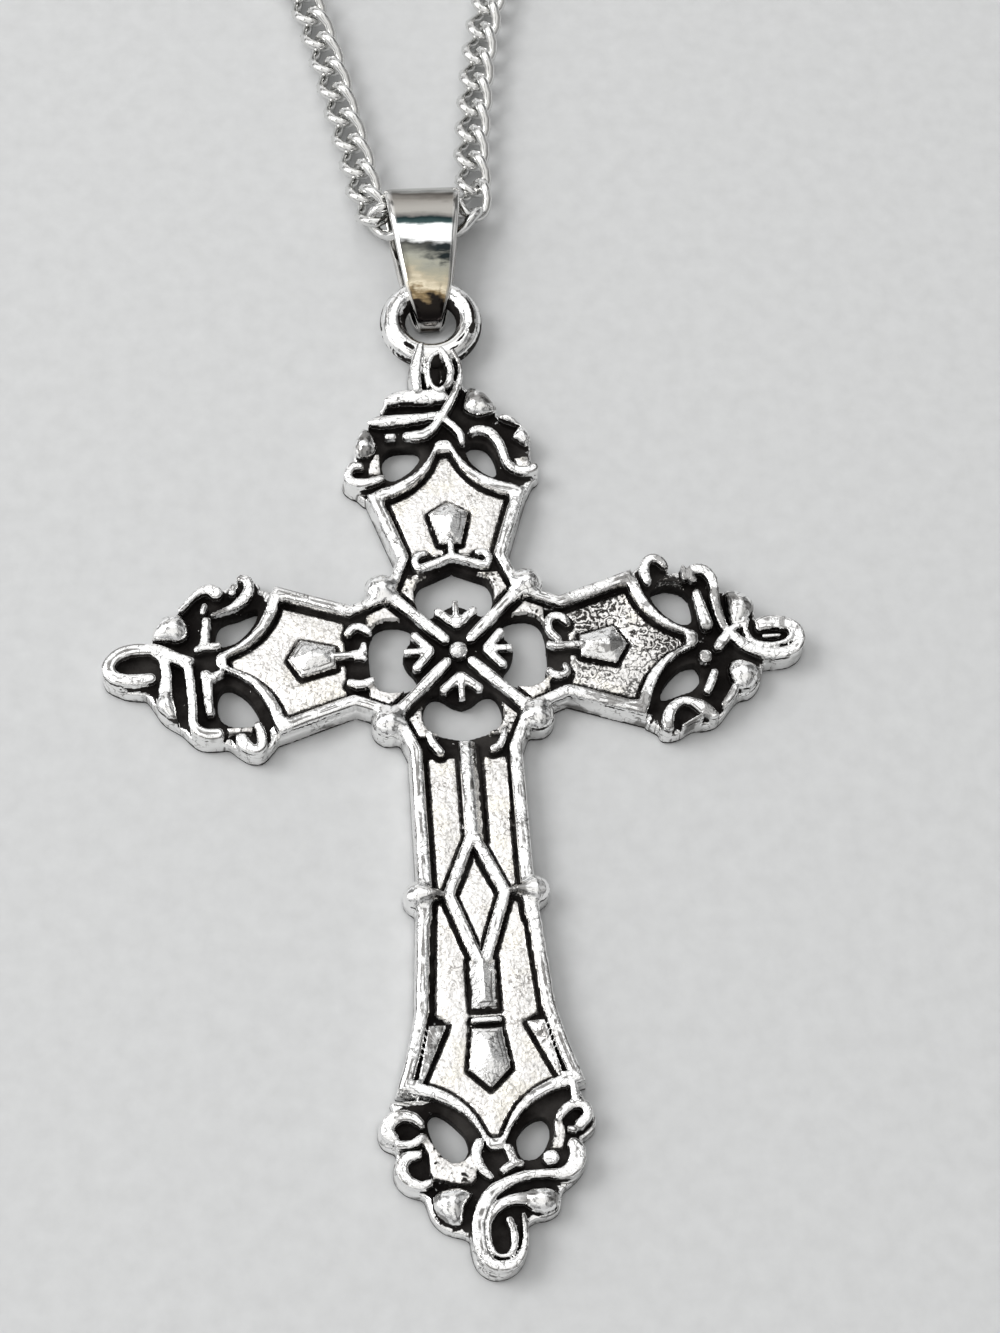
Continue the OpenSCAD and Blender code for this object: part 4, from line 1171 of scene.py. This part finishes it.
# Painted reflections on the bail's front, the room's bands it would mirror, from its foot to its fold: place
# in mm, colour
BAIL_PAINTED_REFLECTIONS = [
    [27.2, (0.3, 0.29, 0.28)], [27.32, (0.85, 0.83, 0.81)], [27.48, (0.8, 0.78, 0.76)],
    [27.6, (0.012, 0.01, 0.01)], [28.8, (0.02, 0.017, 0.015)], [29.1, (0.3, 0.22, 0.12)],
    [29.5, (0.85, 0.76, 0.58)], [30.1, (0.6, 0.53, 0.39)], [30.7, (0.46, 0.44, 0.34)],
    [31.6, (0.38, 0.38, 0.32)], [32.1, (0.24, 0.24, 0.21)],
    [32.8, (0.06, 0.06, 0.055)], [33.1, (0.95, 0.96, 0.95)], [34.4, (0.98, 1.0, 0.99)],
    [34.6, (0.05, 0.085, 0.085)], [35.0, (0.012, 0.024, 0.026)], [35.2, (0.2, 0.19, 0.18)],
    [35.5, (0.36, 0.345, 0.32)], [36.5, (0.4, 0.38, 0.35)], [37.2, (0.1, 0.09, 0.08)],
    [37.8, (0.55, 0.55, 0.53)]]


def bail_steel():
    """Polished steel with painted reflections of the room's bands across the bail's front and painted shade
    on its back.
    """
    m, s, skin = new_finish("polished_steel")
    place = s.place()
    x, y = s.axes(place)[:2]
    streaks = s.noise(s.vector_math("MULTIPLY", place, (0.3, 1, 1)).outputs["Vector"], 2100, 3)
    blots = s.noise(place, 700, 3)
    # The painted reflection bands wander, least at the foot and at the fold
    loose = s.times(s.between(y, 0.031, 0.034, 1.0, 0.2), s.between(y, 0.0276, 0.0286))
    shift = s.math("ADD", s.math("ADD", streaks, blots), -1.0)
    along = s.scaled(s.times(s.scaled(x, 150, shift), loose), 0.0018, y)
    front = s.bands(s.between(along, 0.0272, 0.0382), BAIL_PAINTED_REFLECTIONS, 27.2, 38.2)
    # A painted dark reflection streak on the right, below the white band
    painted_dark_streak = s.times(s.between(along, 0.0315, 0.0321), s.between(along, 0.0329, 0.0332, 1.0, 0.0),
                     s.between(x, -0.0012, 0.0006, 0.1, 1.0), s.between(streaks, 0.4, 0.52, 0.3, 1.0))
    front = s.blend(painted_dark_streak, front, (0.02, 0.026, 0.027))
    # Painted shade on the back leaf, dark brown with blotches
    back = s.blend(s.between(blots, 0.4, 0.6), (0.03, 0.025, 0.022), (0.14, 0.12, 0.1))
    face = s.blend(s.attribute("front"), back, front)
    s.join(s.blend(s.attribute("edge"), face, (0.8, 0.79, 0.77)), skin.inputs["Base Color"])
    skin.inputs["Metallic"].default_value = 1
    s.join(s.between(streaks, 0.3, 0.7, 0.05, 0.14), skin.inputs["Roughness"])
    return m


def chain_steel():
    """Bright chain metal with a faint unevenness."""
    m, s, skin = new_finish("bright_chain")
    grain = s.noise(s.place(), 900, 2)
    skin.inputs["Metallic"].default_value = 1
    s.join(s.blend(grain, (0.7, 0.695, 0.68), (0.82, 0.82, 0.81)), skin.inputs["Base Color"])
    s.join(s.between(grain, 0.3, 0.7, 0.05, 0.13), skin.inputs["Roughness"])
    s.bump(skin, grain, 0.08, 0.0001)
    return m


def pale_card():
    """The table's pale, slightly uneven card."""
    m, s, skin = new_finish("pale_card")
    s.join(s.blend(s.noise(s.place(), 700, 6), (0.575, 0.58, 0.582), (0.685, 0.692, 0.695)),
           skin.inputs["Base Color"])
    skin.inputs["Roughness"].default_value = 0.75
    skin.inputs["Specular IOR Level"].default_value = 0.2
    return m


def dress_fittings(metal):
    """The jump rings and the clasp keep their solids and get the chain's metal."""
    for name in ("ring_left", "ring_right", "clasp"):
        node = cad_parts[name]
        node.data.materials.clear()
        node.data.materials.append(metal)


# Room, in metres

# Half the width of the floor, and its height just below the part
FLOOR_HALF = 1.2
FLOOR_Z = -0.00005


def build_floor():
    corners = [(-1, -1), (1, -1), (1, 1), (-1, 1)]
    points = np.array([[x * FLOOR_HALF, y * FLOOR_HALF, FLOOR_Z] for x, y in corners])
    floor = mesh_object("pale_floor", points, np.array([[0, 1, 2, 3]]))
    floor.data.materials.append(pale_card())


def soft_light(name, place, aim, size, power):
    """A square of light that faces the aimed place, with its power in watts."""
    data = bpy.data.lights.new(name, "AREA")
    data.shape = "RECTANGLE"
    data.size, data.size_y = size
    data.energy = power
    lamp = bpy.data.objects.new(name, data)
    lamp.location = place
    lamp.rotation_euler = (Vector(aim) - Vector(place)).to_track_quat("-Z", "Y").to_euler()
    bpy.context.scene.collection.objects.link(lamp)


# The room's brightness from south horizon over the zenith to north horizon: degrees, colour
ROOM_BANDS = [
    [-90, (0.6, 0.6, 0.61)], [-66, (0.55, 0.55, 0.55)], [-44, (0.95, 0.95, 0.94)],
    [-14, (1.0, 0.99, 0.97)], [0, (0.95, 0.95, 0.95)], [11, (1.3, 1.3, 1.3)],
    [34, (1.3, 1.31, 1.31)], [46, (1.0, 1.0, 1.0)], [56, (0.7, 0.69, 0.68)],
    [66, (0.9, 0.9, 0.9)], [82, (0.9, 0.91, 0.92)], [90, (0.5, 0.52, 0.53)]]


def build_room():
    """Pale walls all round, and a window on the left."""
    world = bpy.data.worlds.new("studio")
    bpy.context.scene.world = world
    world.use_nodes = True
    s = Shader(world.node_tree)
    back = world.node_tree.nodes["Background"]
    toward = s.new("ShaderNodeTexCoord").outputs["Generated"]
    x, y, z = s.axes(toward)
    share = s.between(s.math("ARCTAN2", y, z), -math.pi / 2, math.pi / 2)
    s.join(s.bands(share, ROOM_BANDS, -90, 90), back.inputs["Color"])
    # The east side is darker, and soft blotches stand for the things in the room
    east = s.between(x, 0.2, 0.75, 1.0, 0.42)
    west = s.between(x, -0.7, -0.2, 1.2, 1.0)
    blotch = s.between(s.noise(toward, 2.6, 2), 0.42, 0.5, 0.26, 1.0)
    # No blotch lies near the north of the zenith or along the middle
    away = s.vector_math("DISTANCE", toward, (0.05, 0.42, 0.9)).outputs["Value"]
    clear = s.between(away, 0.3, 0.5, 1.0, 0.0)
    middle = s.between(s.math("ABSOLUTE", x), 0.08, 0.25, 1.0, 0.0)
    s.join(s.times(east, west, s.most(blotch, clear, middle)), back.inputs["Strength"])
    soft_light("window_left", (-0.4, 0.12, 0.5), (0, 0.02, 0), (0.34, 0.3), 1.7)


def build_camera():
    """Where the picture was taken from."""
    data = bpy.data.cameras.new("camera")
    data.lens = 67.52
    data.sensor_width = 36
    data.clip_start, data.clip_end = 0.01, 5
    cam = bpy.data.objects.new("camera", data)
    cam.location = (-0.009764, -0.075133, 0.159838)
    cam.rotation_euler = (0.44030, -0.04426, -0.07528)
    bpy.context.scene.collection.objects.link(cam)
    bpy.context.scene.camera = cam


bpy.context.scene.view_settings.view_transform = "Standard"
build_camera()
build_room()
build_floor()
chain_metal = chain_steel()
build_chain(chain_metal)
dress_fittings(chain_metal)
build_bail(bail_steel())
build_cross(antique_silver())
